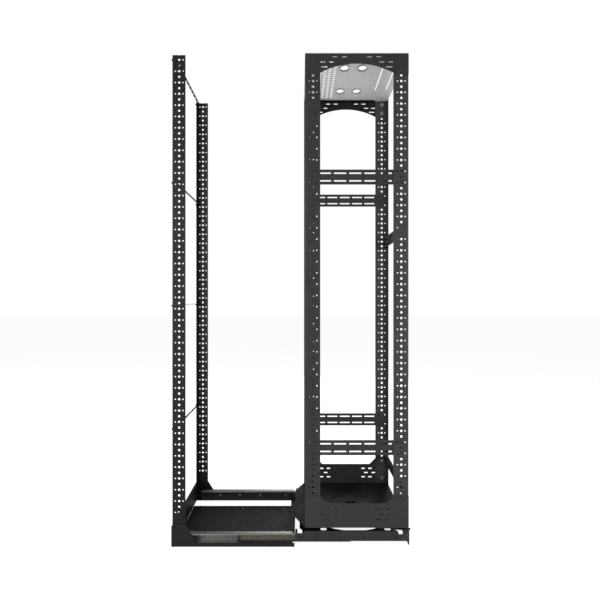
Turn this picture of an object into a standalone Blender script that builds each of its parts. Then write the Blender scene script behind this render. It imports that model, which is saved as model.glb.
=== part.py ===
# Slide-out, rotating equipment rack for a cabinet: a fixed base frame with two
# tall back posts, a carriage on telescopic slides, and a 42-unit open rack on a
# centre turntable.  Built in millimetres, stored in metres, +Z up.
# Origin: centre of the floor pan's underside.  +X is the way the rack is pulled
# out (front), -Y is the near side, +Y the far side.
import bpy
import bmesh
import math
from mathutils import Vector
from mathutils.geometry import delaunay_2d_cdt

for old in list(bpy.data.objects):
    bpy.data.objects.remove(old, do_unlink=True)

MM = 0.001                            # metres in a millimetre
SIDES = (("near", -1), ("far", 1))    # name and sign of Y

# --------------------------------------------------- sizes shared by sections, mm
HOLE_PITCH = 2 * 44.45                # post holes are two rack units apart
POST_HOLE_R = 5.0
SCREW_HOLE_R = 3.2
GAP = 0.3                             # running and seating gap between pieces
SHEET = 2.0                           # usual sheet thickness

SLIDE_AXIS_Z = 29.0                   # mid height of the moving slide members
MIDDLE_X = (23.4, 463.4)              # middle slide members, back to front
BEAM_X = (243.8, 689.4)               # carriage beams
BEAM_TOP_Z = 61.0
PAN_Z = 25.0                          # underside of the carriage pan

RACK_X = (283.1, 691.1)
RACK_CX = sum(RACK_X) / 2             # turntable centre
RACK_Z = (74.3, 1942.0)
RACK_HALF_W = 255.0
RACK_SEAT_Z = 77.7                    # underside of parts on the rack floor plate

TURN_AXIS_Z = 50.0                    # height of the cage and lock pin origins
LOCK_OFFSET = (101.0, -190.0)         # lock pin, from the turntable centre
LOCK_PIN = (RACK_CX + LOCK_OFFSET[0], LOCK_OFFSET[1])
LEVER_PIVOT = (635.4, -228.0)
LEVER_Z = (62.5, 65.5)


# ------------------------------------------------------------------- materials
def material(name, colour, roughness, metallic):
    mat = bpy.data.materials.new(name)
    mat.use_nodes = True
    shader = mat.node_tree.nodes["Principled BSDF"]
    shader.inputs["Base Color"].default_value = (*colour, 1.0)
    shader.inputs["Roughness"].default_value = roughness
    shader.inputs["Metallic"].default_value = metallic
    mat.diffuse_color = (*colour, 1.0)
    return mat


BLACK = material("black_powder_coat", colour=(0.030, 0.030, 0.031), roughness=0.55, metallic=0.0)
GREY = material("top_panel_coat", colour=(0.060, 0.060, 0.062), roughness=0.45, metallic=0.0)
ZINC = material("zinc_plate", colour=(0.46, 0.45, 0.42), roughness=0.38, metallic=1.0)
STEEL = material("bright_steel", colour=(0.55, 0.55, 0.55), roughness=0.30, metallic=1.0)
BRASS = material("cage_brass", colour=(0.50, 0.38, 0.16), roughness=0.40, metallic=1.0)

# -------------------------------------------------------- bodies and their axes
BODIES = {}                           # name: (empty, its place in metres)


def add_body(name, place, parent=None):
    """An empty at the origin of a group of pieces that move together."""
    empty = bpy.data.objects.new("axis_" + name, None)
    empty.empty_display_size = 0.05
    bpy.context.scene.collection.objects.link(empty)
    origin = Vector(place) * MM
    empty.location = origin
    if parent:
        empty.parent, parent_origin = BODIES[parent]
        empty.location = origin - parent_origin
    BODIES[name] = (empty, origin)


add_body("base", (0, 0, 0))
add_body("slide_middle", (MIDDLE_X[0], 0, SLIDE_AXIS_Z), "base")
add_body("carriage", (BEAM_X[0], 0, SLIDE_AXIS_Z), "base")
add_body("ball_cage", (RACK_CX, 0, TURN_AXIS_Z), "carriage")
add_body("rack", (RACK_CX, 0, RACK_Z[0]), "carriage")
add_body("lock_lever", (*LEVER_PIVOT, sum(LEVER_Z) / 2), "carriage")
add_body("lock_pin", (*LOCK_PIN, TURN_AXIS_Z), "carriage")


# --------------------------------------------------------------- 2-D outlines
def rect(u0, u1, v0, v1):
    return [(u0, v0), (u1, v0), (u1, v1), (u0, v1)]


def ellipse(u, v, radius_u, radius_v, count, turn=0.5):
    """turn: angle of the first point, in steps."""
    angles = [2 * math.pi * (i + turn) / count for i in range(count)]
    return [(u + radius_u * math.cos(a), v + radius_v * math.sin(a)) for a in angles]


def circle(u, v, radius, count=8, turn=0.5):
    return ellipse(u, v, radius, radius, count, turn)


def inside(point, loop):
    """Even-odd test of a point against a closed outline."""
    hit = False
    for i in range(len(loop)):
        a, b = loop[i], loop[i - 1]
        if (a[1] > point[1]) != (b[1] > point[1]):
            if point[0] < (b[0] - a[0]) * (point[1] - a[1]) / (b[1] - a[1]) + a[0]:
                hit = not hit
    return hit


def fill(outline, holes):
    """Points and counter-clockwise triangles of an outline with its holes open."""
    points, edges = [], []
    for loop in [outline] + holes:
        start = len(points)
        points += [Vector(p) for p in loop]
        edges += [(start + i, start + (i + 1) % len(loop)) for i in range(len(loop))]
    _, _, cells, _, sources, *_ = (
        lambda r: (r[0], r[1], r[2], r[4], r[3]))(delaunay_2d_cdt(points, edges, [], 0, 1e-6))
    triangles = []
    for cell in cells:
        tri = tuple(sources[i][0] for i in cell)
        a, b, c = (points[i] for i in tri)
        middle = ((a.x + b.x + c.x) / 3, (a.y + b.y + c.y) / 3)
        if not inside(middle, outline) or any(inside(middle, h) for h in holes):
            continue
        area = (b.x - a.x) * (c.y - a.y) - (b.y - a.y) * (c.x - a.x)
        triangles.append(tri if area > 0 else tri[::-1])
    return points, triangles


# ------------------------------------------ placing (a, b, length) on X, Y and Z
def as_xyz(x, y, z):
    return (x, y, z)


def across(x, z, y):
    """A section in (x, z) that runs across the rack."""
    return (x, y, z)


def facing_x(y, z, x):
    """A plate or section in (y, z), thick or long in X."""
    return (x, y, z)


def along_x(side):
    """A section in (w, z) that runs along X; w is measured out from the middle."""
    return lambda w, z, x: (x, side * w, z)


def side_plate(side):
    """A plate in (x, z) that stands on one side."""
    return lambda x, z, w: (x, side * w, z)


def upright(side, edge_x=0.0, inward=1):
    """A section in (w, u) that runs up Z; u is measured along X from edge_x."""
    return lambda w, u, z: (edge_x + inward * u, side * w, z)


# --------------------------------------------------------------- solid builders
def add_solid(name, body, verts, faces, mat, smooth=False):
    """One closed solid from millimetre points in the whole product's frame."""
    empty, origin = BODIES[body]
    bm = bmesh.new()
    bm_verts = [bm.verts.new(Vector(v) * MM - origin) for v in verts]
    for face in faces:
        bm.faces.new([bm_verts[i] for i in face])
    bmesh.ops.recalc_face_normals(bm, faces=bm.faces)
    if any(len(e.link_faces) != 2 for e in bm.edges):
        raise RuntimeError(name + " is not closed")
    if bm.calc_volume(signed=True) < 0:
        bmesh.ops.reverse_faces(bm, faces=bm.faces)
    mesh = bpy.data.meshes.new(name)
    bm.to_mesh(mesh)
    bm.free()
    mesh.materials.append(mat)
    if smooth:
        mesh.shade_smooth()
        mesh.set_sharp_from_angle(angle=math.radians(35))
    ob = bpy.data.objects.new(name, mesh)
    bpy.context.scene.collection.objects.link(ob)
    ob.parent = empty


def prism(name, body, outline, holes, span, place, mat):
    """A flat plate: outline with holes in (u, v), thick over span."""
    points, triangles = fill(outline, holes)
    n = len(points)
    verts = [place(p.x, p.y, w) for w in span for p in points]
    faces = [t[::-1] for t in triangles] + [tuple(i + n for i in t) for t in triangles]
    start = 0
    for loop in [outline] + holes:
        for i in range(len(loop)):
            a, b = start + i, start + (i + 1) % len(loop)
            faces.append((a, b, b + n, a + n))
        start += len(loop)
    add_solid(name, body, verts, faces, mat)


def full_panels(profile, span, holes=()):
    """Panels for folded(): every run is a plain strip over span.  holes: the
    holes of the run that is second in the profile."""
    panels = []
    for i in range(len(profile) - 1):
        outline = rect(0, math.dist(profile[i], profile[i + 1]), *span)
        panels.append([(outline, list(holes) if i == 1 else [])])
    return panels


def folded(name, body, profile, panels, thickness, place, mat):
    """A folded sheet.  profile: the outer face's corners in (a, b).  panels: for
    each straight run, a list of (outline, holes) in (distance along the run,
    length v).  The thickness lies to the left of the profile."""
    corners = [Vector(p) for p in profile]
    runs = []                         # length, direction and left normal
    for start, end in zip(corners, corners[1:]):
        direction = (end - start).normalized()
        runs.append(((end - start).length, direction, Vector((-direction.y, direction.x))))
    inner = [corners[0] + runs[0][2] * thickness]
    for corner, before, after in zip(corners[1:], runs, runs[1:]):
        n1, n2 = before[2], after[2]
        inner.append(corner + (n1 + n2) * (thickness / (1 + n1.dot(n2))))
    inner.append(corners[-1] + runs[-1][2] * thickness)

    index_of, outer_pts, inner_pts, triangles = {}, [], [], []
    for k, parts in enumerate(panels):
        length, direction, normal = runs[k]
        for outline, holes in parts:
            points, part_triangles = fill(outline, holes)
            ids = []
            for s, v in points:
                if abs(s) < 0.01:
                    out, back = corners[k], inner[k]
                elif abs(s - length) < 0.01:
                    out, back = corners[k + 1], inner[k + 1]
                else:
                    out = corners[k] + direction * s
                    back = out + normal * thickness
                # Neighbouring runs share the points on their fold.
                key = (round(out.x, 2), round(out.y, 2), round(v, 2))
                if key not in index_of:
                    index_of[key] = len(outer_pts)
                    outer_pts.append((out.x, out.y, v))
                    inner_pts.append((back.x, back.y, v))
                ids.append(index_of[key])
            triangles += [tuple(ids[i] for i in t) for t in part_triangles]

    n = len(outer_pts)
    faces = triangles + [tuple(i + n for i in t[::-1]) for t in triangles]
    edges = dict.fromkeys((t[i], t[(i + 1) % 3]) for t in triangles for i in range(3))
    faces += [(b, a, a + n, b + n) for a, b in edges if (b, a) not in edges]
    verts = [place(*p) for p in outer_pts + inner_pts]
    add_solid(name, body, verts, faces, mat)


def turned(name, body, profile, centre, mat, count=32):
    """A solid of revolution about a vertical axis.  profile: (radius, z) points
    round the section; radius 0 marks the axis."""
    verts, rings = [], []
    for radius, z in profile:
        if radius == 0:
            rings.append([len(verts)] * count)
            verts.append((*centre, z))
        else:
            rings.append(list(range(len(verts), len(verts) + count)))
            verts += [(x, y, z) for x, y in circle(*centre, radius, count, turn=0)]
    faces = []
    for k, ring in enumerate(rings):
        following = rings[(k + 1) % len(rings)]
        if ring[0] == ring[1] and following[0] == following[1]:
            continue                  # both on the axis
        for i in range(count):
            j = (i + 1) % count
            corners = (ring[i], ring[j], following[j], following[i])
            faces.append(tuple(dict.fromkeys(corners)))
    add_solid(name, body, verts, faces, mat, smooth=True)


# -------------------------------------------------------------------- the base
BASE_X = (-241.8, 241.8)
BASE_HALF_W = 260.0                   # outside of the side panels
PANEL_FLANGE = 32.0
PANEL_END_H = 86.0                    # height of the raised panel ends
PANEL_STRIP_H = 17.0                  # height of the low strip under the slides
PANEL_SLOPE_X = (-187.6, -143.6)      # where the raised end slopes down
FLOOR_PAN_X = (-234.0, 239.2)
FLOOR_PAN_HALF_W = 155.0
FLOOR_PAN_T = 2.5
BACK_PLATE_HALF_W = 250.0
BACK_PLATE_Z = (2.6, 94.0)
SILL_H = 16.0
SILL_DEPTH = 20.0
SILL_HALF_W = 218.5

BACK_POST_X = (-238.6, -186.6)
BACK_POST_OUT = 257.7                 # outer face of the webs
BACK_POST_FLANGE = 30.0
BACK_POST_Z = (3.0, 1932.0)
BACK_POST_HOLE_X = -211.3
BACK_POST_HOLE_DROP = 6.3             # top hole, below the post's top
BACK_SEAT_X = BACK_POST_X[0] + SHEET + GAP   # just in front of the post flanges

RAIL_X = (-212.6, 231.4)
RAIL_PROFILE = [(220, 41.5), (220, 3.0), (236, 3.0)]    # (w, z)
OUTER_X = (-210.6, 233.4)
OUTER_W = (222.6, 251.0)
OUTER_Z = (10.0, 47.0)
OUTER_T = 2.4
RAIL_SCREW_X = (-121, -26, 71, 196)
RAIL_SCREW_Z = sum(OUTER_Z) / 2

STRIP_Z = (1925.0, 1438.0, 952.0, 465.0)     # top faces of the lacing strips
STRIP_HALF_W = 252.0
STRIP_TAB_W = 229.0                   # the end tabs start here
STRIP_TAB_H = 12.0
STRIP_DEPTH = 11.0
STRIP_T = 1.6
STRIP_SLOTS = 10
STRIP_SLOT_PITCH = 48.0
STRIP_SLOT_HALF_L = 17.0
STRIP_SLOT_U = (3.5, 7.5)             # across the strip


def floor_pan():
    """Screwed to the cabinet floor through three holes on each long edge."""
    holes = [circle(x, y, SCREW_HOLE_R) for x in (-190.0, 0.0, 190.0) for y in (-118.0, 118.0)]
    outline = rect(*FLOOR_PAN_X, -FLOOR_PAN_HALF_W, FLOOR_PAN_HALF_W)
    prism("floor_pan", "base", outline, holes, (0.0, FLOOR_PAN_T), as_xyz, BLACK)


def side_panel(tag, side):
    """A bottom flange folded up into the side, which is tall at the back, slopes
    down, and runs on as a low strip that leaves the slide open."""
    profile = [(BASE_HALF_W - PANEL_FLANGE, GAP), (BASE_HALF_W, GAP), (BASE_HALF_W, PANEL_END_H)]
    tall, low = PANEL_END_H - GAP, PANEL_STRIP_H - GAP
    outline = [(0, BASE_X[0]), (tall, BASE_X[0]), (tall, PANEL_SLOPE_X[0]),
               (low, PANEL_SLOPE_X[1]), (low, BASE_X[1]), (0, BASE_X[1])]
    panels = full_panels(profile, BASE_X)
    panels[1] = [(outline, [])]
    folded("side_panel_" + tag, "base", profile, panels, SHEET, along_x(side), BLACK)


def slide_rail(tag, side):
    """An angle between the back plate and the sill, with four screw holes."""
    down = RAIL_PROFILE[0][1] - RAIL_SCREW_Z
    panels = full_panels(RAIL_PROFILE, RAIL_X)
    panels[0][0][1].extend(circle(down, x, SCREW_HOLE_R) for x in RAIL_SCREW_X)
    folded("slide_rail_" + tag, "base", RAIL_PROFILE, panels, SHEET, along_x(side), BLACK)


def slide_outer(tag, side):
    """Outer slide member: a channel, open towards the outside."""
    (w0, w1), (z0, z1) = OUTER_W, OUTER_Z
    profile = [(w1, z1), (w0, z1), (w0, z0), (w1, z0)]
    holes = [circle(z1 - RAIL_SCREW_Z, x, SCREW_HOLE_R) for x in RAIL_SCREW_X]
    folded("slide_outer_" + tag, "base", profile, full_panels(profile, OUTER_X, holes),
           OUTER_T, along_x(side), ZINC)


def back_post(tag, side):
    """An angle with a perforated web and a back flange."""
    profile = [(BACK_POST_OUT - BACK_POST_FLANGE, BACK_POST_X[0]),
               (BACK_POST_OUT, BACK_POST_X[0]), (BACK_POST_OUT, BACK_POST_X[1])]
    top_hole = BACK_POST_Z[1] - BACK_POST_HOLE_DROP
    holes = [circle(BACK_POST_HOLE_X - BACK_POST_X[0], top_hole - HOLE_PITCH * k, POST_HOLE_R)
             for k in range(21)]
    folded("back_post_" + tag, "base", profile, full_panels(profile, BACK_POST_Z, holes),
           SHEET, upright(side), BLACK)


def back_plate():
    prism("back_plate", "base", rect(-BACK_PLATE_HALF_W, BACK_PLATE_HALF_W, *BACK_PLATE_Z), [],
          (BACK_SEAT_X, BACK_SEAT_X + SHEET), facing_x, BLACK)


def front_sill():
    """A low angle across the mouth, its top flange pointing back."""
    x = BASE_X[1]
    profile = [(x, GAP), (x, SILL_H), (x - SILL_DEPTH, SILL_H)]
    folded("front_sill", "base", profile, full_panels(profile, (-SILL_HALF_W, SILL_HALF_W)),
           SHEET, across, BLACK)


def lacing_strip(number, z):
    """A flat slotted bar between the back posts, with a tab folded down at each
    end against the post's back flange."""
    half, tab, depth = STRIP_HALF_W, STRIP_TAB_W, STRIP_DEPTH
    slots = []
    for k in range(STRIP_SLOTS):
        y = (k - (STRIP_SLOTS - 1) / 2) * STRIP_SLOT_PITCH
        slots.append(rect(*STRIP_SLOT_U, y - STRIP_SLOT_HALF_L, y + STRIP_SLOT_HALF_L))
    flat = [(0, -half), (0, -tab), (0, tab), (0, half), (depth, half), (depth, -half)]
    tabs = [(rect(0, STRIP_TAB_H, -half, -tab), []), (rect(0, STRIP_TAB_H, tab, half), [])]
    profile = [(BACK_SEAT_X, z - STRIP_TAB_H), (BACK_SEAT_X, z), (BACK_SEAT_X + depth, z)]
    folded("lacing_strip_%d" % number, "base", profile, [tabs, [(flat, slots)]],
           -STRIP_T, across, BLACK)


floor_pan()
for tag, side in SIDES:
    side_panel(tag, side)
    slide_rail(tag, side)
    slide_outer(tag, side)
    back_post(tag, side)
back_plate()
front_sill()
for number, z in enumerate(STRIP_Z, start=1):
    lacing_strip(number, z)

# ----------------------------------------------------------- the moving slides
# Middle member: an I section in (w, z), running in the outer channel.
MIDDLE_SECTION = [
    (227.4, 16.6), (249.5, 16.6), (249.5, 19.0), (239.5, 19.0),
    (239.5, 39.0), (249.5, 39.0), (249.5, 41.4), (227.4, 41.4),
    (227.4, 39.0), (237.1, 39.0), (237.1, 19.0), (227.4, 19.0)]
# Inner member: a channel in (w, z) inside the I section, bolted to the beam.
INNER_PROFILE = [(241.0, 20.4), (251.9, 20.4), (251.9, 37.6), (241.0, 37.6)]
INNER_X = (249.4, 687.4)

for tag, side in SIDES:
    prism("slide_middle_" + tag, "slide_middle", MIDDLE_SECTION, [], MIDDLE_X,
          along_x(side), ZINC)
    folded("slide_inner_" + tag, "carriage", INNER_PROFILE, full_panels(INNER_PROFILE, INNER_X),
           SHEET, along_x(side), ZINC)

# ---------------------------------------------------------------- the carriage
BEAM_W = (252.3, 254.8)
BEAM_BOTTOM_Z = 22.0
BEAM_BACK_Z = 50.0                    # top of the lower back end
BEAM_STEP_X = (273.0, 284.0)          # slope up to the full height
BEAM_NOTCH_X = (645.4, 667.4)
BEAM_NOTCH_DEPTH = 13.0
BEAM_HOLES = {"x": (262, 322, 515, 643), "z": 34.0, "radius": 3.0}

PAN_WELL_W = 218.5                    # half width of the well between the slides
PAN_EDGE_W = 251.9                    # outer edge of the raised edges
PAN_LIP_Z = 47.4                      # underside of the raised edges
PAN_X = (272.0, 652.0)                # beside the slides
PAN_MIDDLE_X = (261.4, 684.0)         # the middle reaches further both ways
SKIRT_X = (690.4, 693.4)
SKIRT_HALF_W = 254.6
SKIRT_BOTTOM_Z = 5.0


def carriage_beam(tag, side):
    (x0, x1), (n0, n1), top = BEAM_X, BEAM_NOTCH_X, BEAM_TOP_Z
    notch_z = top - BEAM_NOTCH_DEPTH
    outline = [(x0, BEAM_BOTTOM_Z), (x1, BEAM_BOTTOM_Z), (x1, top),
               (n1, top), (n1, notch_z), (n0, notch_z), (n0, top),
               (BEAM_STEP_X[1], top), (BEAM_STEP_X[0], BEAM_BACK_Z), (x0, BEAM_BACK_Z)]
    holes = [circle(x, BEAM_HOLES["z"], BEAM_HOLES["radius"]) for x in BEAM_HOLES["x"]]
    prism("carriage_beam_" + tag, "carriage", outline, holes, BEAM_W, side_plate(side), BLACK)


def carriage_pan():
    """A well between the slides with raised edges that reach over them."""
    well, edge = PAN_WELL_W, PAN_EDGE_W
    profile = [(-edge, PAN_LIP_Z), (-well, PAN_LIP_Z), (-well, PAN_Z),
               (well, PAN_Z), (well, PAN_LIP_Z), (edge, PAN_LIP_Z)]
    (x0, x1), (mid0, mid1), width = PAN_X, PAN_MIDDLE_X, 2 * well
    # The well floor, in (distance across the well, x).
    floor = [(0, x0), (0, x1), (60, x1), (74, mid1), (width - 74, mid1), (width - 60, x1),
             (width, x1), (width, x0), (width - 55, x0), (width - 75, mid0), (75, mid0), (55, x0)]
    holes = [circle(RACK_CX, 0, 173.0, 48)]
    holes += [circle(RACK_CX + dx, y, 14.0, 12) for dx in (-127, 137) for y in (-155.0, 155.0)]
    holes.append(circle(*LOCK_PIN, 5.6, 12))
    # Swapping the axes mirrors a loop, so it is reversed to keep its winding.
    holes = [[(y + well, x) for x, y in hole][::-1] for hole in holes]
    panels = full_panels(profile, PAN_X)
    panels[2] = [(floor, holes)]
    folded("carriage_pan", "carriage", profile, panels, SHEET, facing_x, BLACK)


for tag, side in SIDES:
    carriage_beam(tag, side)
carriage_pan()
prism("front_skirt", "carriage", rect(-SKIRT_HALF_W, SKIRT_HALF_W, SKIRT_BOTTOM_Z, BEAM_TOP_Z),
      [], SKIRT_X, facing_x, BLACK)

# --------------------------------------------------------------- the turntable
TURN_CENTRE = (RACK_CX, 0)
RING_IN, RING_OUT = 40.0, 85.0        # radii of the bearing rings
# Ring and bolt sections, (radius, z).  Each ring has a groove for the balls.
LOWER_RING = [(RING_IN, 25.0), (RING_OUT, 25.0), (RING_OUT, 46.0), (72, 46.0),
              (70, 44.0), (55, 44.0), (53, 46.0), (RING_IN, 46.0)]
CAGE = [(56, 44.5), (69, 44.5), (69, 53.5), (56, 53.5)]
UPPER_RING = [(RING_IN, 52.0), (53, 52.0), (55, 54.0), (70, 54.0),
              (72, 52.0), (RING_OUT, 52.0), (RING_OUT, 74.0), (RING_IN, 74.0)]
PIVOT_BOLT = [(0, 17.4), (12, 17.4), (12, RACK_SEAT_Z), (24, RACK_SEAT_Z),
              (24, 84), (21, 86.5), (0, 86.5)]

# The bridge spans the round opening under the pan and carries the bearing.
prism("pivot_bridge", "carriage", rect(RACK_CX - 200, RACK_CX + 190, -60, 60),
      [circle(*TURN_CENTRE, 14.5, 16)], (21.0, PAN_Z - GAP), as_xyz, BLACK)
turned("bearing_lower_ring", "carriage", LOWER_RING, TURN_CENTRE, STEEL)
turned("bearing_ball_cage", "ball_cage", CAGE, TURN_CENTRE, BRASS)
turned("bearing_upper_ring", "rack", UPPER_RING, TURN_CENTRE, STEEL)
turned("pivot_bolt", "rack", PIVOT_BOLT, TURN_CENTRE, STEEL)
prism("pivot_nut", "rack", circle(*TURN_CENTRE, 21.0, 6, turn=0),
      [circle(*TURN_CENTRE, 12.3, 16)], (16.9, 20.7), as_xyz, ZINC)

# ----------------------------------------------------------- the rotation lock
# A pin in a guide bush, lifted by a hand lever on a pivot post.
# Sections are (radius, z).
GUIDE_BOTTOM_Z = PAN_Z + SHEET + GAP
PIN_GUIDE = [(5.5, GUIDE_BOTTOM_Z), (10, GUIDE_BOTTOM_Z), (10, 45), (5.5, 45)]
PIN = [(0, 18.5), (5, 18.5), (5, 65.9), (9, 65.9), (9, 67.6), (5, 67.6), (5, 71), (4, 72),
       (0, 72)]
PIVOT_POST = [(0, 49.7), (8, 49.7), (8, 62.2), (4, 62.2), (4, 65.8), (7, 65.8), (7, 68.4),
              (0, 68.4)]
# Lever handle outline: offsets from the pivot, then the tip in (x, y).
HANDLE_NEAR = [(-4, -14), (30, -22)]
HANDLE_TIP = [(697.0, -250.0), (700.4, -246.5), (698.0, -241.0)]
HANDLE_FAR = [(32, -8), (14, 4)]
SLOT_HALF_W = 6.5
HEAD_MARGIN = 13.0                    # head's outer edge beyond the slot's middle
HEAD_BACK_R = 15.0                    # lever's rounded back, about the pivot
HEAD_BACK_END = math.radians(250)


def lever_arc(radius, start, end, steps):
    """Points about the lever pivot, both ends included."""
    return [(LEVER_PIVOT[0] + radius * math.cos(start + (end - start) * i / steps),
             LEVER_PIVOT[1] + radius * math.sin(start + (end - start) * i / steps))
            for i in range(steps + 1)]


def from_pivot(offsets):
    return [(LEVER_PIVOT[0] + dx, LEVER_PIVOT[1] + dy) for dx, dy in offsets]


def lock_lever():
    """A flat lever with an arc-shaped slot round the pin."""
    dx, dy = LOCK_PIN[0] - LEVER_PIVOT[0], LOCK_PIN[1] - LEVER_PIVOT[1]
    arm, pin_angle = math.hypot(dx, dy), math.atan2(dy, dx)
    start, end = pin_angle - math.radians(14), pin_angle + math.radians(34)
    slot = lever_arc(arm - SLOT_HALF_W, start, end, 6)
    slot += lever_arc(arm + SLOT_HALF_W, end, start, 6)
    head_start, head_end = start - math.radians(9), end + math.radians(9)
    outline = lever_arc(arm + HEAD_MARGIN, head_start, head_end, 8)
    outline += lever_arc(HEAD_BACK_R, head_end, HEAD_BACK_END, 3)[1:3]
    outline += from_pivot(HANDLE_NEAR) + HANDLE_TIP + from_pivot(HANDLE_FAR)
    prism("lock_lever", "lock_lever", outline, [circle(*LEVER_PIVOT, 4.5, 16), slot],
          LEVER_Z, as_xyz, BLACK)


turned("lock_pin_guide", "carriage", PIN_GUIDE, LOCK_PIN, ZINC, 20)
turned("lock_pin", "lock_pin", PIN, LOCK_PIN, STEEL, 20)
turned("lever_pivot_post", "carriage", PIVOT_POST, LEVER_PIVOT, ZINC, 20)
lock_lever()

# -------------------------------------------------------------------- the rack
RACK_FLOOR_T = 3.0
RACK_FLOOR_HALF_W = 252.7
TONGUE_X = 243.4                      # back end of the floor plate's tongue
TONGUE_HALF_W = 155.0

POST_W = 60.0                         # along X
POST_FLANGE = 27.5                    # leaves a 450.6 opening for 19-inch gear
POST_OUT = 252.8                      # outer face of the webs
POST_Z = (RACK_SEAT_Z, 1939.4)
POST_HOLE_U = 30.5                    # hole column from the post's outer edge
POST_TOP_HOLE_Z = 1832.6

SIDE_PLATE_W = (POST_OUT + GAP, RACK_HALF_W)
BETWEEN_POSTS_X = (RACK_X[0] + POST_W, RACK_X[1] - POST_W)
BOTTOM_LOW_Z = RACK_Z[0] + 94.7       # bottom plate's top edge between the posts
BOTTOM_HIGH_Z = RACK_Z[0] + 123.7     # and over the posts
TOP_PANEL_Z = (RACK_Z[1] - SHEET, RACK_Z[1])
TOP_PLATE_Z = (1858.0, TOP_PANEL_Z[0] - GAP)
ARCH_Z = (1864.0, 1900.0)             # ends and crown of the top plate's arch
ARCH_STEPS = 20
SLOT_HALF_H = 3.0
# Slot rows: height, slot length, offsets either side of the rack's centre.
BOTTOM_SLOTS = [(147.8, 18, (84.5, 118.0)), (127.3, 18, (98.4, 134.5)),
                (106.8, 18, (84.5, 118.0))]
TOP_SLOTS = [(1926.9, 20, (49.6, 86.6)), (1906.5, 20, (99.3, 133.5)), (1887.0, 27, (126.5,))]

BAR_LEVELS = (("upper", 1454.8), ("lower", 388.0))      # name, mid height
BAR_X = (RACK_X[0] + 19.3, RACK_X[1] - 19.7)
BAR_W = (248.4, 250.4)
BAR_HALF_H = 29.5
BAR_SLOT_X = RACK_CX - 5.7            # middle slot of each row
BAR_SLOT_PITCH = 59.9
BAR_SLOT_HALF_L = 24.8
BAR_ROW_DZ = 15.1                     # slot rows above and below the middle

CROSS_BARS = (("upper", 1248.0, 25.0), ("lower", 213.5, 26.0))  # mid and half height
CROSS_BAR_X = (674.0, 688.6)
CROSS_BAR_HALF_W = 250.4


def rack_floor_plate():
    """A plate with a tapered tongue at the back, a centre hole for the pivot bolt
    and four index holes for the lock pin."""
    x0, x1, half = *RACK_X, RACK_FLOOR_HALF_W
    outline = [(x0, -half), (x1, -half), (x1, half), (x0, half),
               (TONGUE_X, TONGUE_HALF_W), (TONGUE_X, -TONGUE_HALF_W)]
    holes = [circle(*TURN_CENTRE, 13.0, 16)]
    dx, dy = LOCK_OFFSET
    for _ in range(4):
        holes.append(circle(RACK_CX + dx, dy, 6.6, 12))
        dx, dy = -dy, dx              # a quarter turn
    prism("rack_floor_plate", "rack", outline, holes, (RACK_Z[0], RACK_Z[0] + RACK_FLOOR_T),
          as_xyz, BLACK)


def rack_post(tag, side, end, edge_x, inward):
    """An angle with its flange at the rack's outer end and a perforated web."""
    profile = [(POST_OUT - POST_FLANGE, 0), (POST_OUT, 0), (POST_OUT, POST_W)]
    holes = [circle(POST_HOLE_U, POST_TOP_HOLE_Z - HOLE_PITCH * k, POST_HOLE_R)
             for k in range(19)]
    folded("rack_post_%s_%s" % (tag, end), "rack", profile, full_panels(profile, POST_Z, holes),
           SHEET, upright(side, edge_x, inward), BLACK)


def slot_rows(rows):
    slots = []
    for z, length, offsets in rows:
        for x in [RACK_CX + sign * offset for offset in offsets for sign in (-1, 1)]:
            slots.append(rect(x - length / 2, x + length / 2, z - SLOT_HALF_H, z + SLOT_HALF_H))
    return slots


def bottom_plate(tag, side):
    """Rises over the posts with a 45 degree corner each side."""
    (x0, x1), (in0, in1) = RACK_X, BETWEEN_POSTS_X
    low, high = BOTTOM_LOW_Z, BOTTOM_HIGH_Z
    rise = high - low
    outline = [(x0, RACK_Z[0]), (x1, RACK_Z[0]), (x1, high), (in1, high),
               (in1 - rise, low), (in0 + rise, low), (in0, high), (x0, high)]
    prism("bottom_plate_" + tag, "rack", outline, slot_rows(BOTTOM_SLOTS), SIDE_PLATE_W,
          side_plate(side), BLACK)


def top_plate(tag, side):
    """Has an arched lower edge between the posts."""
    (x0, x1), (in0, in1), (z0, z1) = RACK_X, BETWEEN_POSTS_X, TOP_PLATE_Z
    half = (in1 - in0) / 2
    rise = ARCH_Z[1] - ARCH_Z[0]
    radius = (half * half + rise * rise) / (2 * rise)
    end_angle = math.asin(half / radius)
    angles = [end_angle - 2 * end_angle * i / ARCH_STEPS for i in range(ARCH_STEPS + 1)]
    arch = [(RACK_CX + radius * math.sin(a), ARCH_Z[1] - radius + radius * math.cos(a))
            for a in angles]
    outline = [(x0, z0), (x0, z1), (x1, z1), (x1, z0), (in1, z0)] + arch + [(in0, z0)]
    prism("top_plate_" + tag, "rack", outline, slot_rows(TOP_SLOTS), SIDE_PLATE_W,
          side_plate(side), BLACK)


def lacing_bar(tag, side, level, mid_z):
    """A bar with two rows of slots, behind the posts' webs."""
    slots = []
    for k in range(-2, 3):
        x = BAR_SLOT_X + BAR_SLOT_PITCH * k
        for z in (mid_z - BAR_ROW_DZ, mid_z + BAR_ROW_DZ):
            slots.append(rect(x - BAR_SLOT_HALF_L, x + BAR_SLOT_HALF_L,
                              z - SLOT_HALF_H, z + SLOT_HALF_H))
    prism("lacing_bar_%s_%s" % (tag, level), "rack",
          rect(*BAR_X, mid_z - BAR_HALF_H, mid_z + BAR_HALF_H), slots, BAR_W,
          side_plate(side), BLACK)


def top_panel():
    """Four oval cable openings and two long slots."""
    holes = [ellipse(RACK_CX + dx, y, 18.0, 27.5, 16) for dx in (-37.5, 37.5)
             for y in (-124.0, 124.0)]
    holes += [rect(x - SLOT_HALF_H, x + SLOT_HALF_H, -118, 118) for x in (610.9, 660.9)]
    prism("top_panel", "rack", rect(*RACK_X, -RACK_HALF_W, RACK_HALF_W), holes,
          TOP_PANEL_Z, as_xyz, GREY)


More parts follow.
